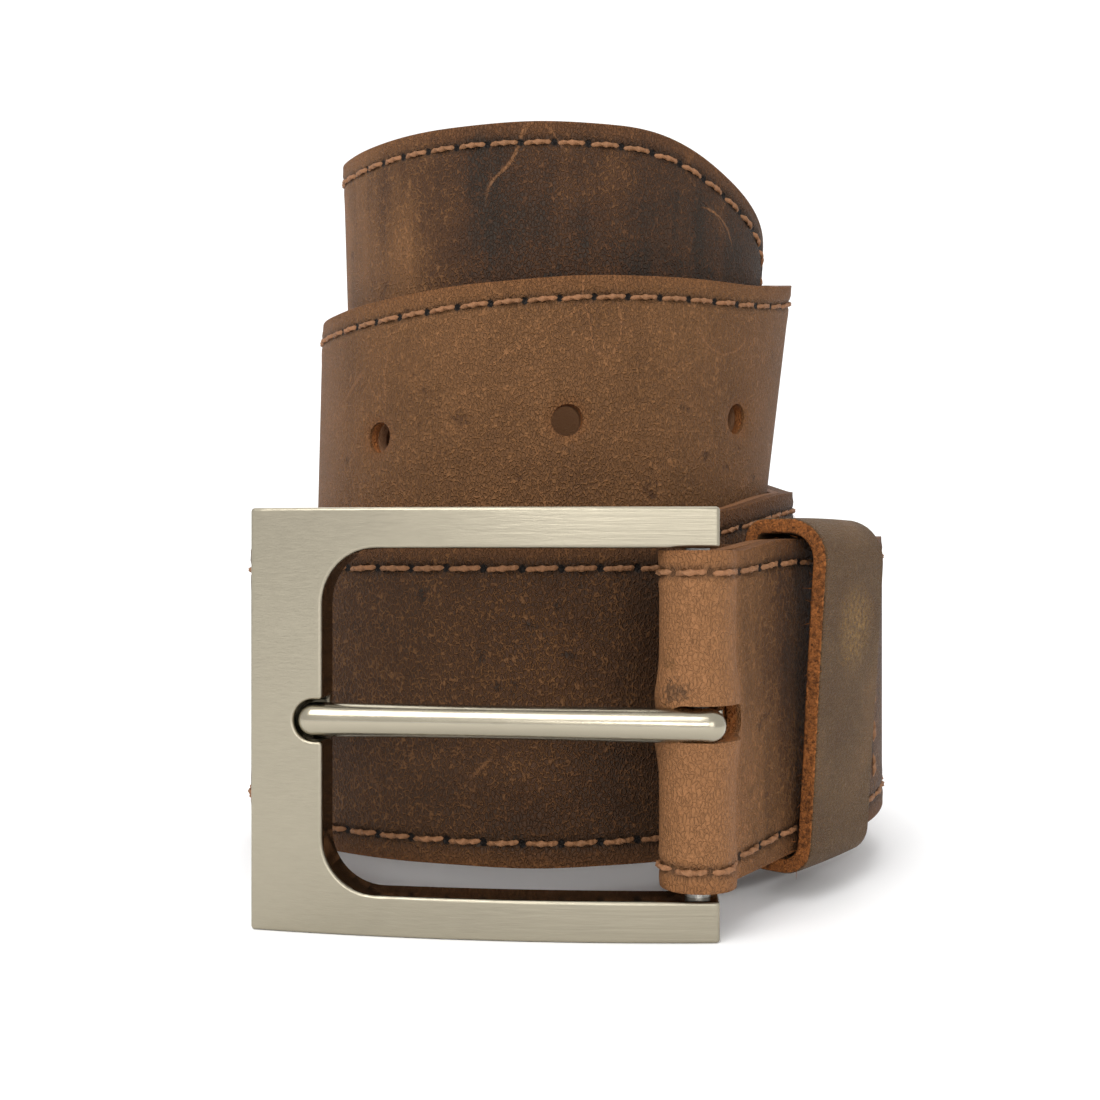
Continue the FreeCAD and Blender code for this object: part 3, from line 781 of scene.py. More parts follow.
def straight_scratch(flat, start, stop, width):
    """A straight scratch between two flat places, in millimetres."""
    (s0, a0), (s1, a1) = start, stop
    turn, run = atan2(a1 - a0, s1 - s0), hypot(s1 - s0, a1 - a0) * MM
    shift = (-(s0 * cos(turn) + a0 * sin(turn)) * MM, (s0 * sin(turn) - a0 * cos(turn)) * MM, 0)
    line = flat.placed(location=shift, rotation=(0, 0, -turn))
    along = line.part(0)
    ends = along.step(0.0, 0.002) * along.step(run, run - 0.002)
    away = abs(line.part(1) + (flat.noise(160.0, 2.0) - 0.5) * 0.0012)
    return away.step(width * MM, width * MM * 0.3) * ends


def curved_scratch(flat, centre, radius, middle, half, width):
    """An arc-shaped scratch: its middle and half its sweep are angles in degrees."""
    u = flat.part(0) - centre[0] * MM
    v = flat.part(1) - centre[1] * MM
    away = abs((u * u + v * v) ** 0.5 - (radius * MM) + (flat.noise(220.0, 2.0) - 0.5) * 0.0014)
    ahead = u * cos(radians(middle)) + v * sin(radians(middle))
    limit = radius * MM * cos(radians(half))
    return away.step(width * MM, width * MM * 0.3) * ahead.step(limit, limit + 0.0012)


# Scratches on the flat strap, in millimetres: start, stop, width and strength.
STRAIGHT_SCRATCHES = (
    ((842.8, 7.6), (859.2, 16.6), 0.16, 0.8),
    ((857.7, -1.7), (878.0, -1.9), 0.14, 0.7),
    ((816.0, 6.0), (822.5, 10.5), 0.5, 0.8),
    ((862.0, -6.0), (870.0, -15.0), 0.13, 0.6),
)
# Centre, radius, middle and half of the sweep in degrees, width and strength.
CURVED_SCRATCHES = (
    ((881.0, 16.0), 6.4, -95.0, 62.0, 0.24, 1.0),
    ((1100.0, 3.6), 7.2, 62.0, 42.0, 0.22, 1.0),
    ((1096.0, 1.0), 11.0, 50.0, 22.0, 0.15, 0.7),
)
# Waves of the thread's plies to the metre, as radians.
PLY_WAVES = 9000.0


def strap_leather(colours):
    """Waxed pull-up leather: dark where it is flat, pale where it is bent or scuffed."""
    material, start, shader = new_material("strap_leather")
    flat = start.attribute("flat", 1)
    s, a, depth = flat.part(0), flat.part(1), flat.part(2)
    off, run, margin = (start.attribute(n) for n in ("seam_off", "seam_run", "margin"))
    height, fibre, net = grain_of(flat, 1.0)
    clouds = flat.placed(scale=(0.7, 1.0, 1.0)).noise(42.0, 5.0, 0.6)
    drifts = flat.placed(scale=(1.0, 0.35, 1.0)).noise(60.0, 4.0, 0.6)
    specks = flat.noise(260.0, 3.0, 0.5).step(0.61, 0.69) * flat.noise(60.0, 1.0).step(0.42, 0.58)
    streaks = flat.placed(scale=(1.0, 0.12, 1.0)).noise(190.0, 3.0, 0.6)

    fold = s.step(0.0075, 0.0045)
    behind = s.step(0.0045, 0.0075) * s.step(0.075, 0.060)
    # Painted shadow beside the keeper: the stretch behind the fold darkens from 10 mm to 19 mm past the pin
    # and stays darker to the end of that stretch.
    keeper_shadow = s.step(0.010, 0.019)
    inner_turns = s.step(0.06, 0.10) * s.step(0.700, 0.660)
    hole_turn = s.step(0.700, 0.740) * s.step(0.985, 0.955)
    tip_turn = s.step(0.955, 0.985)
    middle = s.step(1.050, 1.068) * (0.6 + drifts * 0.8)
    level = 0.315 + fold * 0.62 + behind * (0.30 - keeper_shadow * 0.34)
    level = level + hole_turn * 0.30 - inner_turns * 0.02
    level = level + tip_turn * (0.25 - middle * 0.44)
    contrast = 0.55 - fold * 0.25 + tip_turn * 0.30
    tone = level + (clouds - 0.5) * contrast + (drifts - 0.5) * contrast * 0.6
    tone = tone + (streaks - 0.5) * (0.12 + tip_turn * 0.55 + behind * 0.60)
    tone = tone + (fibre - 0.5) * 0.42
    tone = tone + (net - 0.2) * (0.27 + inner_turns * 0.05 - fold * 0.10) - specks * 0.22
    tone = tone.clamp() * 3.0
    base = tone.clamp().mix(rgb(colours.dark), rgb(colours.ruddy))
    base = (tone - 1.0).clamp().mix(base, rgb(colours.brown))
    base = (tone - 2.0).clamp().mix(base, rgb(colours.pale))

    scuffs = scratches_of(flat, 0.7, 48.0, 0.3, 0.57) + scratches_of(flat, -0.6, 36.0, 1.7, 0.60)
    for *shape, strength in STRAIGHT_SCRATCHES:
        scuffs = scuffs + straight_scratch(flat, *shape) * strength
    for *shape, strength in CURVED_SCRATCHES:
        scuffs = scuffs + curved_scratch(flat, *shape) * strength
    base = (scuffs * 0.62).clamp().mix(base, rgb(colours.pale))
    rim = margin.step(0.0030, 0.0004)
    smudge = (((s + 0.0078) * 0.7) ** 2.0 + (a - 0.0034) ** 2.0) ** 0.5
    smudge = (smudge + (fibre - 0.5) * 0.0045 + (clouds - 0.5) * 0.002).step(0.0016, 0.0004)
    base = (smudge * 0.6).mix(base, rgb(colours.dark))
    worn = (rim * (0.25 + drifts * 0.6)).clamp()
    base = (worn * 0.65).mix(base, rgb(colours.edge))
    ring = start.attribute("hole").step(0.0040, 0.0022)
    base = (ring * (0.20 + fibre * 0.6)).clamp().mix(base, rgb(colours.edge))
    wall = margin.step(0.0004, 0.0001)
    edge = flat.placed(scale=(0.4, 1.0, 1.6)).noise(900.0, 4.0, 0.65)
    base = (wall * edge.step(0.25, 0.75) * 0.8).mix(base, rgb(colours.edge))
    line = off.step(0.0012, 0.0004) * depth.step(-0.0008, -0.0004)
    base = (line * 0.35).mix(base, rgb(colours.dark))
    cut = depth.step(-0.0003, -0.0009) * (1 - wall)
    base = (cut * 0.8).mix(base, rgb(colours.raw))

    pitch = start.attribute("pitch")
    phase = run.math("FRACT", run / pitch)
    gap = 0.5 - abs(phase - 0.5)
    reach = ((gap * pitch) ** 2.0 + (off * 0.9) ** 2.0) ** 0.5
    # Painted shade: near-black dots stand for the shaded insides of the needle holes, which are not cut.
    needle = reach.step(0.00060, 0.00036) * depth.step(-0.0008, -0.0004) * (1 - fold * 0.6)
    base = needle.mix(base, (0.004, 0.002, 0.001, 1.0))
    wire(base, shader, "Base Color")

    rough = 0.56 + fibre * 0.16 + rim * 0.08
    wire(rough.clamp(), shader, "Roughness")
    relief = (height * (1 - fold * 0.35)).bump(1.0, 0.00042)
    relief = (clouds + scuffs * 0.3 - needle * 2.0).bump(0.35, 0.0005, relief)
    wire(relief, shader, "Normal")
    shader.inputs["Specular IOR Level"].default_value = 0.22
    return material


def lining_leather(colours):
    """Smooth vegetable-tanned lining, matt, with a faint nap."""
    material, start, shader = new_material("lining_leather")
    flat = start.attribute("flat", 1)
    margin = start.attribute("margin")
    height, fibre, _ = grain_of(flat, 0.8)
    clouds = flat.noise(50.0, 4.0)
    tone = (clouds.step(0.3, 0.7) * 0.5 + fibre * 0.5).clamp()
    base = tone.mix(rgb(colours.brown), rgb(colours.lining))
    rim = margin.step(0.0020, 0.0)
    base = (rim * 0.7).mix(base, rgb(colours.edge))
    wire(base, shader, "Base Color")
    wire((0.66 + fibre * 0.15).clamp(), shader, "Roughness")
    wire(height.bump(0.5, 0.0002), shader, "Normal")
    shader.inputs["Specular IOR Level"].default_value = 0.3
    return material


def keeper_leather(colours):
    """Dark olive-brown grain with a painted highlight patch, and fibrous orange cut edges."""
    material, start, shader = new_material("keeper_leather")
    flat = start.attribute("flat", 1)
    wall = start.attribute("wall")
    height, fibre, net = grain_of(flat, 0.9)
    clouds = flat.noise(55.0, 4.0, 0.6)
    nap = flat.noise(1500.0, 5.0, 0.7)
    tone = (clouds.step(0.25, 0.75) * 0.5 + fibre * 0.45 + net * 0.25).clamp()
    base = tone.mix(rgb(colours.ruddy), rgb(colours.olive))
    p, w = flat.part(0), flat.part(1)
    # Painted highlight: a yellowish patch on the keeper's front wall, below its upper corner.
    sheen_patch = ((p - 0.0455) ** 2.0 + ((w + 0.0005) * 1.3) ** 2.0) ** 0.5
    sheen_patch = (sheen_patch + (clouds - 0.5) * 0.012).step(0.0075, 0.001) * nap.step(0.35, 0.7)
    base = (sheen_patch * 0.75).mix(base, rgb(colours.painted_sheen))
    base = (clouds.step(0.5, 0.75) * 0.22).mix(base, rgb(colours.pale))
    raw = nap.step(0.32, 0.60).mix(rgb([c * 0.28 for c in colours.raw]), rgb(colours.raw))
    base = wall.step(0.35, 0.75).mix(base, raw)
    wire(base, shader, "Base Color")
    wire((0.56 + nap * 0.15 + wall * 0.2).clamp(), shader, "Roughness")
    relief = height.bump(0.9, 0.0004)
    relief = (nap * wall).bump(0.9, 0.0006, relief)
    wire(relief, shader, "Normal")
    shader.inputs["Specular IOR Level"].default_value = 0.20
    return material


def thread_fibre(colours):
    """Waxed thread with the lay of its plies and stray dark wax."""
    material, start, shader = new_material("seam_thread")
    twist = start.attribute("twist", 1)
    place = start.node("TexCoord", {}, {}, 3)
    lay = twist.math("SINE", twist.part(0) * PLY_WAVES)
    dirt = place.noise(220.0, 3.0)
    tone = (0.55 + lay * 0.10 + (dirt - 0.5) * 1.5).clamp()
    base = tone.mix(rgb(colours.brown), rgb(colours.thread))
    wire(base, shader, "Base Color")
    wire((0.62 + dirt * 0.2).clamp(), shader, "Roughness")
    wire((lay * 0.5 + place.noise(5000.0, 3.0)).bump(0.6, 0.00012), shader, "Normal")
    return material


def brushed_metal(name, tint, rough, brush, direction, depth):
    """Satin nickel, brushed along one direction, with a few small scratches."""
    material, start, shader = new_material(name)
    place = start.node("TexCoord", {}, {}, 3)
    lines = place.placed(rotation=(0, 0, -FRAME_YAW), scale=direction).noise(brush, 4.0, 0.7)
    broad = place.noise(60.0, 3.0)
    nicks = abs(place.placed(rotation=(0.3, 0.5, 0.9), scale=(1, 1, 0.3)).noise(220.0, 1.0) - 0.5)
    nicks = nicks.step(0.004, 0.0) * place.noise(140.0, 1.0).step(0.67, 0.74)
    tone = (lines * 0.5 + broad * 0.3 + 0.25).clamp()
    base = tone.mix(rgb([c * (1 - depth) for c in tint]), rgb(tint))
    base = (nicks * 0.6).mix(base, rgb([c * 0.45 for c in tint]))
    wire(base, shader, "Base Color")
    wire((rough + (lines - 0.5) * 0.16 + (broad - 0.5) * 0.08).clamp(), shader, "Roughness")
    wire((lines - nicks * 0.6).bump(min(1.0, depth * 1.5), 0.00008), shader, "Normal")
    shader.inputs["Metallic"].default_value = 1.0
    return material


def studio_white(colours):
    """Matt paper."""
    material, start, shader = new_material("studio_white")
    place = start.node("TexCoord", {}, {}, 3)
    tone = place.noise(3.0, 2.0)
    base = tone.mix(rgb(colours.floor), rgb([min(1.0, c * 1.02) for c in colours.floor]))
    wire(base, shader, "Base Color")
    shader.inputs["Roughness"].default_value = 0.85
    return material


# ----------------------------------------
# Operators
# ----------------------------------------


class BELT_OT_outer_strap(bpy.types.Operator):
    """Cut, stitch-mark and roll the outer leather of the strap"""
    bl_idname = "belt.outer_strap"
    bl_label = "Outer strap"

    def execute(self, context):
        scene = context.scene
        sizes, seams = scene.belt_strap, scene.belt_seams
        strap = Strap(sizes)
        holes = hole_places(strap, sizes)
        bm = sheet_of(strap_columns(strap, strap.start, holes), strap_rows())
        for s in holes:
            open_hole(bm, (s, 0.0), 0.0, HOLE_BLOCK, sizes.hole / MM / 2)
        open_hole(bm, (SLOT_CENTRE, SLOT_LEVEL), SLOT_SPINE, HOLE_BLOCK, SLOT_RADIUS)
        thicken(bm, strap.outer, sizes.edge_round / MM)
        mesh = to_mesh(bm, "strap_outer_leather")
        seam = edge_seam(strap, seams.margin / MM)
        roll_up(mesh, strap, seam, holes, seams.groove / MM, 0.0)
        pitch = seam.length / round(seam.length * MM / seams.pitch)
        add_attribute(mesh, "pitch", np.full(len(mesh.vertices), pitch * MM))
        mesh.materials.append(strap_leather(scene.belt_colours))
        new_piece("outer_strap", mesh, "strap", "strap_leather", "strap_outer")
        return {"FINISHED"}


class BELT_OT_lining(bpy.types.Operator):
    """Cut and roll the lining leather"""
    bl_idname = "belt.lining"
    bl_label = "Lining"

    def execute(self, context):
        scene = context.scene
        sizes, seams = scene.belt_strap, scene.belt_seams
        strap = Strap(sizes)
        holes = hole_places(strap, sizes)
        bm = sheet_of(strap_columns(strap, strap.turnback + 1.0, holes), strap_rows())
        for s in holes:
            open_hole(bm, (s, 0.0), 0.0, HOLE_BLOCK, sizes.hole / MM / 2)
        thicken(bm, sizes.lining / MM, 0.35, 2)
        mesh = to_mesh(bm, "strap_lining_leather")
        seam = edge_seam(strap, seams.margin / MM)
        roll_up(mesh, strap, seam, holes, 0.0, strap.outer + sizes.ply_gap / MM)
        mesh.materials.append(lining_leather(scene.belt_colours))
        new_piece("lining", mesh, "strap", "lining_leather", "strap_lining")
        return {"FINISHED"}


class BELT_OT_stitches(bpy.types.Operator):
    """Sew the strap: single stitches on both faces, and the row across the turned-back end"""
    bl_idname = "belt.stitches"
    bl_label = "Stitches"

    def execute(self, context):
        scene = context.scene
        sizes, seams = scene.belt_strap, scene.belt_seams
        strap = Strap(sizes)
        thread = thread_fibre(scene.belt_colours)
        seam = edge_seam(strap, seams.margin / MM)
        mesh = stitch_row(strap, seam, seams)
        mesh.materials.append(thread)
        new_piece("edge_stitches", mesh, "strap", "seam_thread", "edge_seam_thread")
        mesh = stitch_row(strap, cross_seam(strap), seams)
        mesh.materials.append(thread)
        new_piece("turnback_stitches", mesh, "strap", "seam_thread", "turnback_seam_thread")
        lined = seam.points.copy()
        lined[0, 0] = lined[-1, 0] = strap.turnback + 4.0
        back = strap.outer + (sizes.ply_gap + sizes.lining) / MM
        mesh = stitch_row(strap, Seam(lined), seams, back, -1.0)
        mesh.materials.append(thread)
        new_piece("lining_stitches", mesh, "strap", "seam_thread")
        return {"FINISHED"}


def boolean(target, cutter, operation):
    """Applies a boolean to a mesh with the exact solver and returns the new mesh."""
    objects = [bpy.data.objects.new(mesh.name, mesh) for mesh in (target, cutter)]
    for item in objects:
        bpy.context.scene.collection.objects.link(item)
    modifier = objects[0].modifiers.new("boolean", "BOOLEAN")
    modifier.operation = operation
    modifier.object = objects[1]
    modifier.solver = "EXACT"
    return baked(objects[0], objects)


def baked(item, objects):
    """The mesh of an object with its modifiers applied; the working objects are removed."""
    bpy.context.view_layer.update()
    shaped = item.evaluated_get(bpy.context.evaluated_depsgraph_get())
    mesh = bpy.data.meshes.new_from_object(shaped)
    for used in objects:
        bpy.data.objects.remove(used)
    return mesh


def frame_blank(sizes):
    """The flat C of the frame, with round window corners, as a solid: x from the pin, y back, z up."""
    right = sizes.overhang / MM
    left = right - sizes.reach / MM
    side = left + sizes.side / MM
    arm, high = sizes.arm / MM, sizes.height / MM
    front = -sizes.front / MM
    corners = [(left, 0), (right, 0), (right, arm), (side, arm), (side, high - arm), (right, high - arm),
               (right, high), (left, high)]
    bm = bmesh.new()
    verts = [bm.verts.new((x, front, z)) for x, z in corners]
    bm.faces.new(verts)
    bmesh.ops.bevel(bm, geom=verts[3:5], offset=sizes.corner / MM, offset_type="OFFSET", segments=14,
                    profile=0.5, affect="VERTICES", material=-1)
    made = bmesh.ops.extrude_face_region(bm, geom=bm.faces[:], use_keep_orig=True)["geom"]
    back = [g for g in made if isinstance(g, bmesh.types.BMVert)]
    bmesh.ops.translate(bm, verts=back, vec=(0, sizes.thick / MM, 0))
    bmesh.ops.recalc_face_normals(bm, faces=bm.faces[:])
    return to_mesh(bm, "frame_blank"), left, side


def seat_cutter(sizes, side):
    """The round-ended bar whose place is cut from the frame for the prong's tip."""
    radius = sizes.seat / MM / 2
    tip = -sizes.prong_length / MM - 0.4 + radius
    bm = bmesh.new()
    bmesh.ops.create_cone(bm, cap_ends=True, segments=40, radius1=radius, radius2=radius, depth=8.0,
                          matrix=Matrix.Rotation(pi / 2, 4, "X"))
    for v in bm.verts:
        if v.co.x > 0.01:
            v.co.x += side + 2.0 - tip
    bmesh.ops.translate(bm, verts=bm.verts[:], vec=(tip, -0.73 - 4.0, PIN_LEVEL))
    return to_mesh(bm, "seat_cutter")


def turned(places, yaw, level=0.0):
    """Places about the pin, turned about its axis and moved to it."""
    c, n = cos(yaw), sin(yaw)
    x, y, z = places.T
    return np.column_stack([PIN[0] + x * c - y * n, PIN[1] + x * n + y * c, z + level])


class BELT_OT_frame(bpy.types.Operator):
    """Cast, round, bow and brush the buckle frame"""
    bl_idname = "belt.frame"
    bl_label = "Buckle frame"

    def execute(self, context):
        sizes = context.scene.belt_buckle
        blank, left, side = frame_blank(sizes)
        cut = boolean(blank, seat_cutter(sizes, side), "DIFFERENCE")
        item = bpy.data.objects.new("frame_cut", cut)
        context.scene.collection.objects.link(item)
        round_over = item.modifiers.new("edges", "BEVEL")
        round_over.width = sizes.edge / MM
        round_over.segments = 3
        round_over.angle_limit = radians(40)
        mesh = baked(item, [item])
        bm = bmesh.new()
        bm.from_mesh(mesh)
        for x in spread(left + 2.0, sizes.overhang / MM, 2.0):
            bmesh.ops.bisect_plane(bm, geom=bm.faces[:] + bm.edges[:] + bm.verts[:], plane_co=(x, 0, 0),
                                   plane_no=(1, 0, 0), dist=1e-4)
        bm.to_mesh(mesh)
        bm.free()
        places = coordinates(mesh)
        middle = (left + sizes.overhang / MM) / 2
        bow = sizes.bow / MM
        places[:, 1] += bow - np.sqrt(bow ** 2 - (places[:, 0] - middle) ** 2)
        set_coordinates(mesh, turned(places, FRAME_YAW))
        shade(mesh, 35.0)
        nickel = context.scene.belt_colours.nickel
        # Painted shade: the walls inside the window get the nickel at 0.6 of its brightness.
        shaded = [c * 0.6 for c in nickel]
        mesh.materials.append(
            brushed_metal("satin_nickel", nickel, 0.34, 2600.0, (0.02, 1.0, 1.0), 0.34))
        mesh.materials.append(
            brushed_metal("shaded_polished_walls", shaded, 0.13, 900.0, (0.06, 1.0, 1.0), 0.10))
        walls = [polygon for polygon in mesh.polygons if abs(polygon.normal.y) < 0.3]
        for polygon in walls:
            x, y, z = polygon.center / MM
            polygon.material_index = int(1.0 < z < sizes.height / MM - 1.0 and x > PIN[0] + left + 2.0)
        piece = new_piece("frame", mesh, "buckle", "buckle_nickel", "buckle_frame")
        piece.modifiers.new("normals", "WEIGHTED_NORMAL").keep_sharp = True
        return {"FINISHED"}


def lathe(profile, axis, steps):
    """A closed round body: the profile's places are (distance along the axis, radius)."""
    bm = bmesh.new()
    verts = [bm.verts.new((along, radius, 0)) for along, radius in profile]
    edges = [bm.edges.new(pair) for pair in zip(verts, verts[1:])]
    bmesh.ops.spin(bm, geom=verts + edges, cent=(0, 0, 0), axis=(1, 0, 0), dvec=(0, 0, 0),
                   angle=2 * pi, steps=steps, use_merge=True, use_duplicate=False)
    bmesh.ops.remove_doubles(bm, verts=bm.verts[:], dist=1e-4)
    bmesh.ops.recalc_face_normals(bm, faces=bm.faces[:])
    if axis == "Z":
        bmesh.ops.rotate(bm, verts=bm.verts[:], cent=(0, 0, 0), matrix=Matrix.Rotation(-pi / 2, 3, "Y"))
    return bm


class BELT_OT_prong(bpy.types.Operator):
    """Turn the prong and its eye"""
    bl_idname = "belt.prong"
    bl_label = "Prong"

    def execute(self, context):
        sizes = context.scene.belt_buckle
        radius = sizes.prong / MM / 2
        tip, heel = -sizes.prong_length / MM, sizes.prong_heel / MM
        away = (sizes.bore / MM + sizes.prong / MM) / 2
        profile = [(tip + radius * (1 - cos(turn)), radius * sin(turn))
                   for turn in np.linspace(0, pi / 2, 9)]
        profile += [(x, radius * (1 - 0.045 * sin(pi * (x - tip) / (heel - tip))))
                    for x in np.linspace(tip + 4.0, heel - 3.0, 24)]
        profile += [(heel - radius + radius * sin(turn), radius * cos(turn))
                    for turn in np.linspace(0, pi / 2, 9)]
        bm = lathe(profile, "X", 40)
        bmesh.ops.translate(bm, verts=bm.verts[:], vec=(0, -away, 0))
        rod = to_mesh(bm, "prong_rod")
        bore, eye, high = sizes.bore / MM / 2, sizes.eye / MM / 2, radius * 0.96
        bevel = 0.5
        section = [(-high + bevel, bore), (-high, bore + bevel), (-high, eye - bevel), (-high + bevel, eye),
                   (high - bevel, eye), (high, eye - bevel), (high, bore + bevel), (high - bevel, bore),
                   (-high + bevel, bore)]
        mesh = boolean(rod, to_mesh(lathe(section, "Z", 40), "prong_eye"), "UNION")
        set_coordinates(mesh, turned(coordinates(mesh), PRONG_YAW, PIN_LEVEL))
        shade(mesh, 35.0)
        nickel = context.scene.belt_colours.nickel
        mesh.materials.append(
            brushed_metal("polished_nickel", nickel, 0.24, 900.0, (0.06, 1.0, 1.0), 0.15))
        new_piece("prong", mesh, "prong", "prong_nickel", "buckle_prong")
        return {"FINISHED"}


def rounded_path(corners, arc_steps=8):
    """Places and outward normals along an open path round corners, each a place and its radius."""
    rows = []
    count = len(corners)
    for i, (spot, radius) in enumerate(corners):
        spot = np.array(spot)
        before = np.array(corners[i - 1][0]) - spot
        after = np.array(corners[(i + 1) % count][0]) - spot
        before /= hypot(*before)
        after /= hypot(*after)
        angle = np.arccos(np.clip(before @ after, -1, 1))
        reach = radius / tan(angle / 2)
        middle = (before + after) / hypot(*(before + after))
        centre = spot + middle * radius / sin(angle / 2)
        first, last = spot + before * reach - centre, spot + after * reach - centre
        start, stop = atan2(first[1], first[0]), atan2(last[1], last[0])
        swing = (stop - start + pi) % (2 * pi) - pi
        for k in range(arc_steps + 1):
            turn = start + swing * k / arc_steps
            normal = np.array([cos(turn), sin(turn)])
            rows.append((centre + normal * radius, normal))
    return rows


def cut_fibres(edge, towards, material, count=150):
    """Stray fibres that stand out of a cut edge: thin three-sided hairs."""
    rng = np.random.default_rng(11)
    bm = bmesh.new()
    roots = edge[rng.choice(len(edge), count)] + rng.normal(0, 0.3, (count, 3))
    for root in roots:
        size = rng.uniform(0.5, 1.5)
        made = bmesh.ops.create_cone(bm, cap_ends=True, segments=3, radius1=0.05, radius2=0.015, depth=size,
                                     matrix=Matrix.Translation((0, 0, size / 2 - 0.2)))["verts"]
        aim = Vector((*towards, 0.0)) + Vector(rng.normal(0, 0.55, 3))
        turn = Vector((0, 0, 1)).rotation_difference(aim.normalized()).to_matrix().to_4x4()
        bmesh.ops.transform(bm, matrix=Matrix.Translation(root) @ turn, verts=made)
    mesh = to_mesh(bm, "keeper_fibres")
    places = coordinates(mesh)
    add_attribute(mesh, "flat", places * MM)
    add_attribute(mesh, "wall", np.ones(len(places)))
    set_coordinates(mesh, places)
    mesh.materials.append(material)
    return mesh


class BELT_OT_keeper(bpy.types.Operator):
    """Cut the keeper, bend it round the strap and rough up its edges"""
    bl_idname = "belt.keeper"
    bl_label = "Keeper"

    def execute(self, context):
        sizes = context.scene.belt_keeper
        thick = sizes.thick / MM
        width = sizes.width / MM
        rise = sizes.inner / MM / 2 + thick
        back = -sizes.back / MM - thick
        top, low = sizes.front_top / MM + thick, sizes.front_low / MM + thick
        r, low_r = sizes.round / MM + thick, sizes.low_round / MM + thick
        q = sizes.back_round / MM + thick
        path = rounded_path([((back, rise), q), ((top, rise), r), ((low, -rise), low_r), ((back, -rise), q)])
        places = np.array([p for p, n in path])
        normals = np.array([n for p, n in path])
        join = np.array([[back, 0.0]])
        places = np.vstack([join + [[0, 0.05]], places, join - [[0, 0.05]]])
        normals = np.vstack([[[-1, 0]], normals, [[-1, 0]]])
        runs = np.concatenate([[0], np.cumsum(np.hypot(*np.diff(places, axis=0).T))])
        columns = spread(0.0, runs[-1], 0.8) + [runs[-1]]
        rows = [-width / 2 + width * i / 22 for i in range(23)]
        bm = sheet_of(columns, rows)
        thicken(bm, thick, 0.3, 3)
        mesh = to_mesh(bm, "keeper_leather")
        flat = coordinates(mesh)
        p, w, d = flat[:, 0], flat[:, 1], -flat[:, 2]
        spot = np.column_stack([np.interp(p, runs, places[:, i]) for i in range(2)])
        normal = np.column_stack([np.interp(p, runs, normals[:, i]) for i in range(2)])
        normal /= np.hypot(*normal.T)[:, None]
        wall = smooth((np.abs(w) - width / 2 + 0.5) / 0.4) * smooth(d / 0.25) * smooth((thick - d) / 0.25)
        rough = 0.10 * np.sin(p * 9.1 + d * 5) * np.sin(p * 3.7 + 1) * wall
        sway = 0.25 * np.sin(p * 0.16 + 0.5) * np.sign(w) * smooth((np.abs(w) - 4) / 4)
        puff = 0.10 * (1 - (2 * w / width) ** 2)
        section = spot - normal * (d - puff)[:, None]
        along, out = Strap.axes()
        t = sizes.start / MM + width / 2 - w - rough - sway * 0.4
        plan = np.array(PIN) + t[:, None] * along + section[:, :1] * out
        add_attribute(mesh, "flat", np.column_stack([p, w, -d]) * MM)
        add_attribute(mesh, "wall", wall)
        places = np.column_stack([plan, section[:, 1] + sizes.level / MM])
        edge = places[(w > width / 2 - 0.02) & (d > 0.3) & (d < thick - 0.3)]
        set_coordinates(mesh, places)
        if inside_out(mesh):
            mesh.flip_normals()
        shade(mesh, 50.0)
        mesh.materials.append(keeper_leather(context.scene.belt_colours))
        new_piece("keeper", mesh, "keeper", "keeper_leather", "keeper_loop")
        new_piece("keeper_fibres", cut_fibres(edge, -along, mesh.materials[0]), "keeper", "keeper_leather")
        return {"FINISHED"}


def inside_out(mesh):
    """Whether a closed mesh's faces point inwards."""
    bm = bmesh.new()
    bm.from_mesh(mesh)
    volume = bm.calc_volume(signed=True)
    bm.free()
    return volume < 0


class BELT_OT_hidden_metal(bpy.types.Operator):
    """Finish the pin and the staples"""
    bl_idname = "belt.hidden_metal"
    bl_label = "Pin and staples"

    def execute(self, context):
        steel = context.scene.belt_colours.steel
        drawn = brushed_metal("drawn_steel", steel, 0.34, 700.0, (1.0, 1.0, 0.05), 0.2)
        wire_steel = brushed_metal("staple_steel", steel, 0.28, 900.0, (1.0, 1.0, 0.1), 0.2)
        for name, material in (("buckle_pin", drawn), ("keeper_staples", wire_steel)):
            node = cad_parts[name]
            node.data.materials.clear()
            node.data.materials.append(material)
        return {"FINISHED"}


# Where the studio floor starts to curve up into its backdrop, and the radius of the curve, in metres.
SWEEP_START = 0.7
SWEEP_RADIUS = 0.45


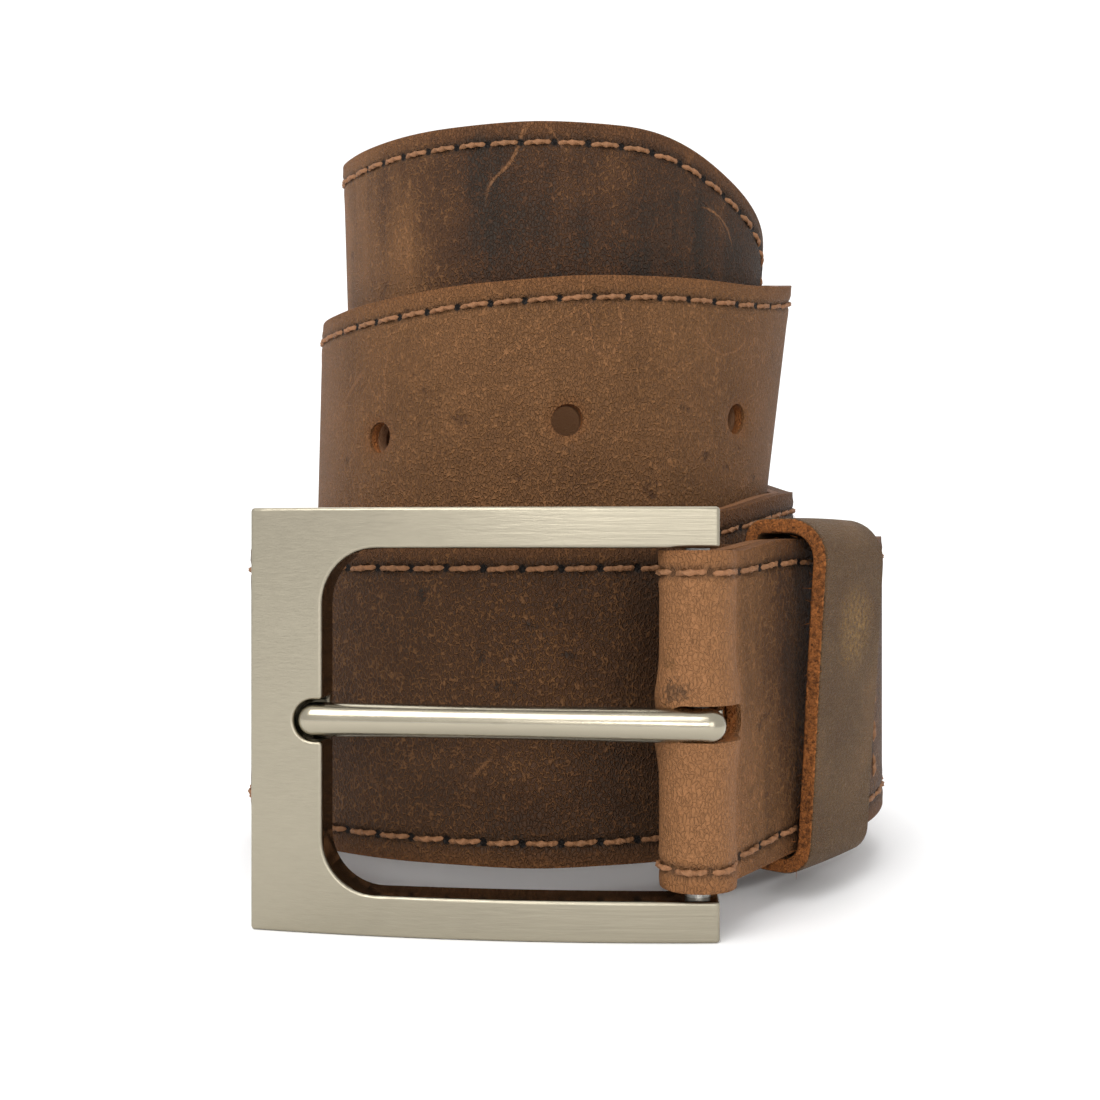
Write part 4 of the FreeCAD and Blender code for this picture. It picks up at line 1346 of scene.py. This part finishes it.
class BELT_OT_stage(bpy.types.Operator):
    """Set the pale floor, the soft lights and the camera"""
    bl_idname = "belt.stage"
    bl_label = "Stage"

    def execute(self, context):
        scene = context.scene
        bm = bmesh.new()
        bmesh.ops.create_grid(bm, x_segments=24, y_segments=48, size=1.0)
        for v in bm.verts:
            x, y = v.co.x * 3.0, v.co.y * 2.4 + 0.2
            bend = max(0.0, y - SWEEP_START)
            turn = min(bend / SWEEP_RADIUS, pi / 2)
            above = max(0.0, bend - SWEEP_RADIUS * pi / 2)
            v.co = (x, min(y, SWEEP_START + SWEEP_RADIUS * sin(turn)),
                    SWEEP_RADIUS * (1 - cos(turn)) + above)
        mesh = to_mesh(bm, "studio_sweep")
        shade(mesh)
        mesh.materials.append(studio_white(scene.belt_colours))
        floor = bpy.data.objects.new("studio_sweep", mesh)
        scene.collection.objects.link(floor)

        world = bpy.data.worlds.new("studio")
        world.use_nodes = True
        world.node_tree.nodes["Background"].inputs["Color"].default_value = (1.0, 1.0, 1.0, 1.0)
        world.node_tree.nodes["Background"].inputs["Strength"].default_value = 0.95
        scene.world = world
        for name, spot, size, power in (
            ("key_light", (-0.30, -0.55, 0.75), 0.5, 4.4),
            ("front_light", (-0.06, -0.72, 0.25), 0.12, 0.7),
            ("side_light", (0.30, -0.95, 0.30), 0.4, 1.5),
            ("back_light", (0.0, 0.5, 0.9), 0.9, 4.0),
        ):
            lamp = bpy.data.lights.new(name, "AREA")
            lamp.size = size
            lamp.energy = power
            item = bpy.data.objects.new(name, lamp)
            item.location = spot
            item.rotation_euler = (Vector((0, 0, 0.05)) - item.location).to_track_quat("-Z", "Y").to_euler()
            scene.collection.objects.link(item)

        lens = bpy.data.cameras.new("camera")
        lens.lens = 40.9
        lens.sensor_width = 36.0
        lens.clip_start = 0.01
        camera = bpy.data.objects.new("camera", lens)
        camera.location = (-0.0023, -0.200, 0.045)
        camera.rotation_euler = (pi / 2, 0, 0)
        scene.collection.objects.link(camera)
        scene.camera = camera
        scene.view_settings.view_transform = "Standard"
        return {"FINISHED"}


OPERATORS = (
    BELT_OT_stage, BELT_OT_outer_strap, BELT_OT_lining, BELT_OT_stitches, BELT_OT_frame, BELT_OT_prong,
    BELT_OT_keeper, BELT_OT_hidden_metal,
)


class BELT_PT_panel(bpy.types.Panel):
    """The belt's operators, in the order that they are run"""
    bl_idname = "BELT_PT_panel"
    bl_label = "Rolled belt"
    bl_space_type = "VIEW_3D"
    bl_region_type = "UI"
    bl_category = "Belt"

    def draw(self, context):
        for operator in OPERATORS:
            self.layout.operator(operator.bl_idname)


GROUPS = {
    "belt_strap": BeltStrapSizes, "belt_seams": BeltSeamSizes, "belt_buckle": BeltBuckleSizes,
    "belt_keeper": BeltKeeperSizes, "belt_colours": BeltColours,
}


def register():
    for group in (*GROUPS.values(), *OPERATORS, BELT_PT_panel):
        bpy.utils.register_class(group)
    for name, group in GROUPS.items():
        setattr(bpy.types.Scene, name, PointerProperty(type=group))


def unregister():
    for name in GROUPS:
        delattr(bpy.types.Scene, name)
    for group in reversed((*GROUPS.values(), *OPERATORS, BELT_PT_panel)):
        bpy.utils.unregister_class(group)


def main():
    register()
    for operator in OPERATORS:
        group, name = operator.bl_idname.split(".")
        getattr(getattr(bpy.ops, group), name)()


if __name__ == "__main__":
    main()
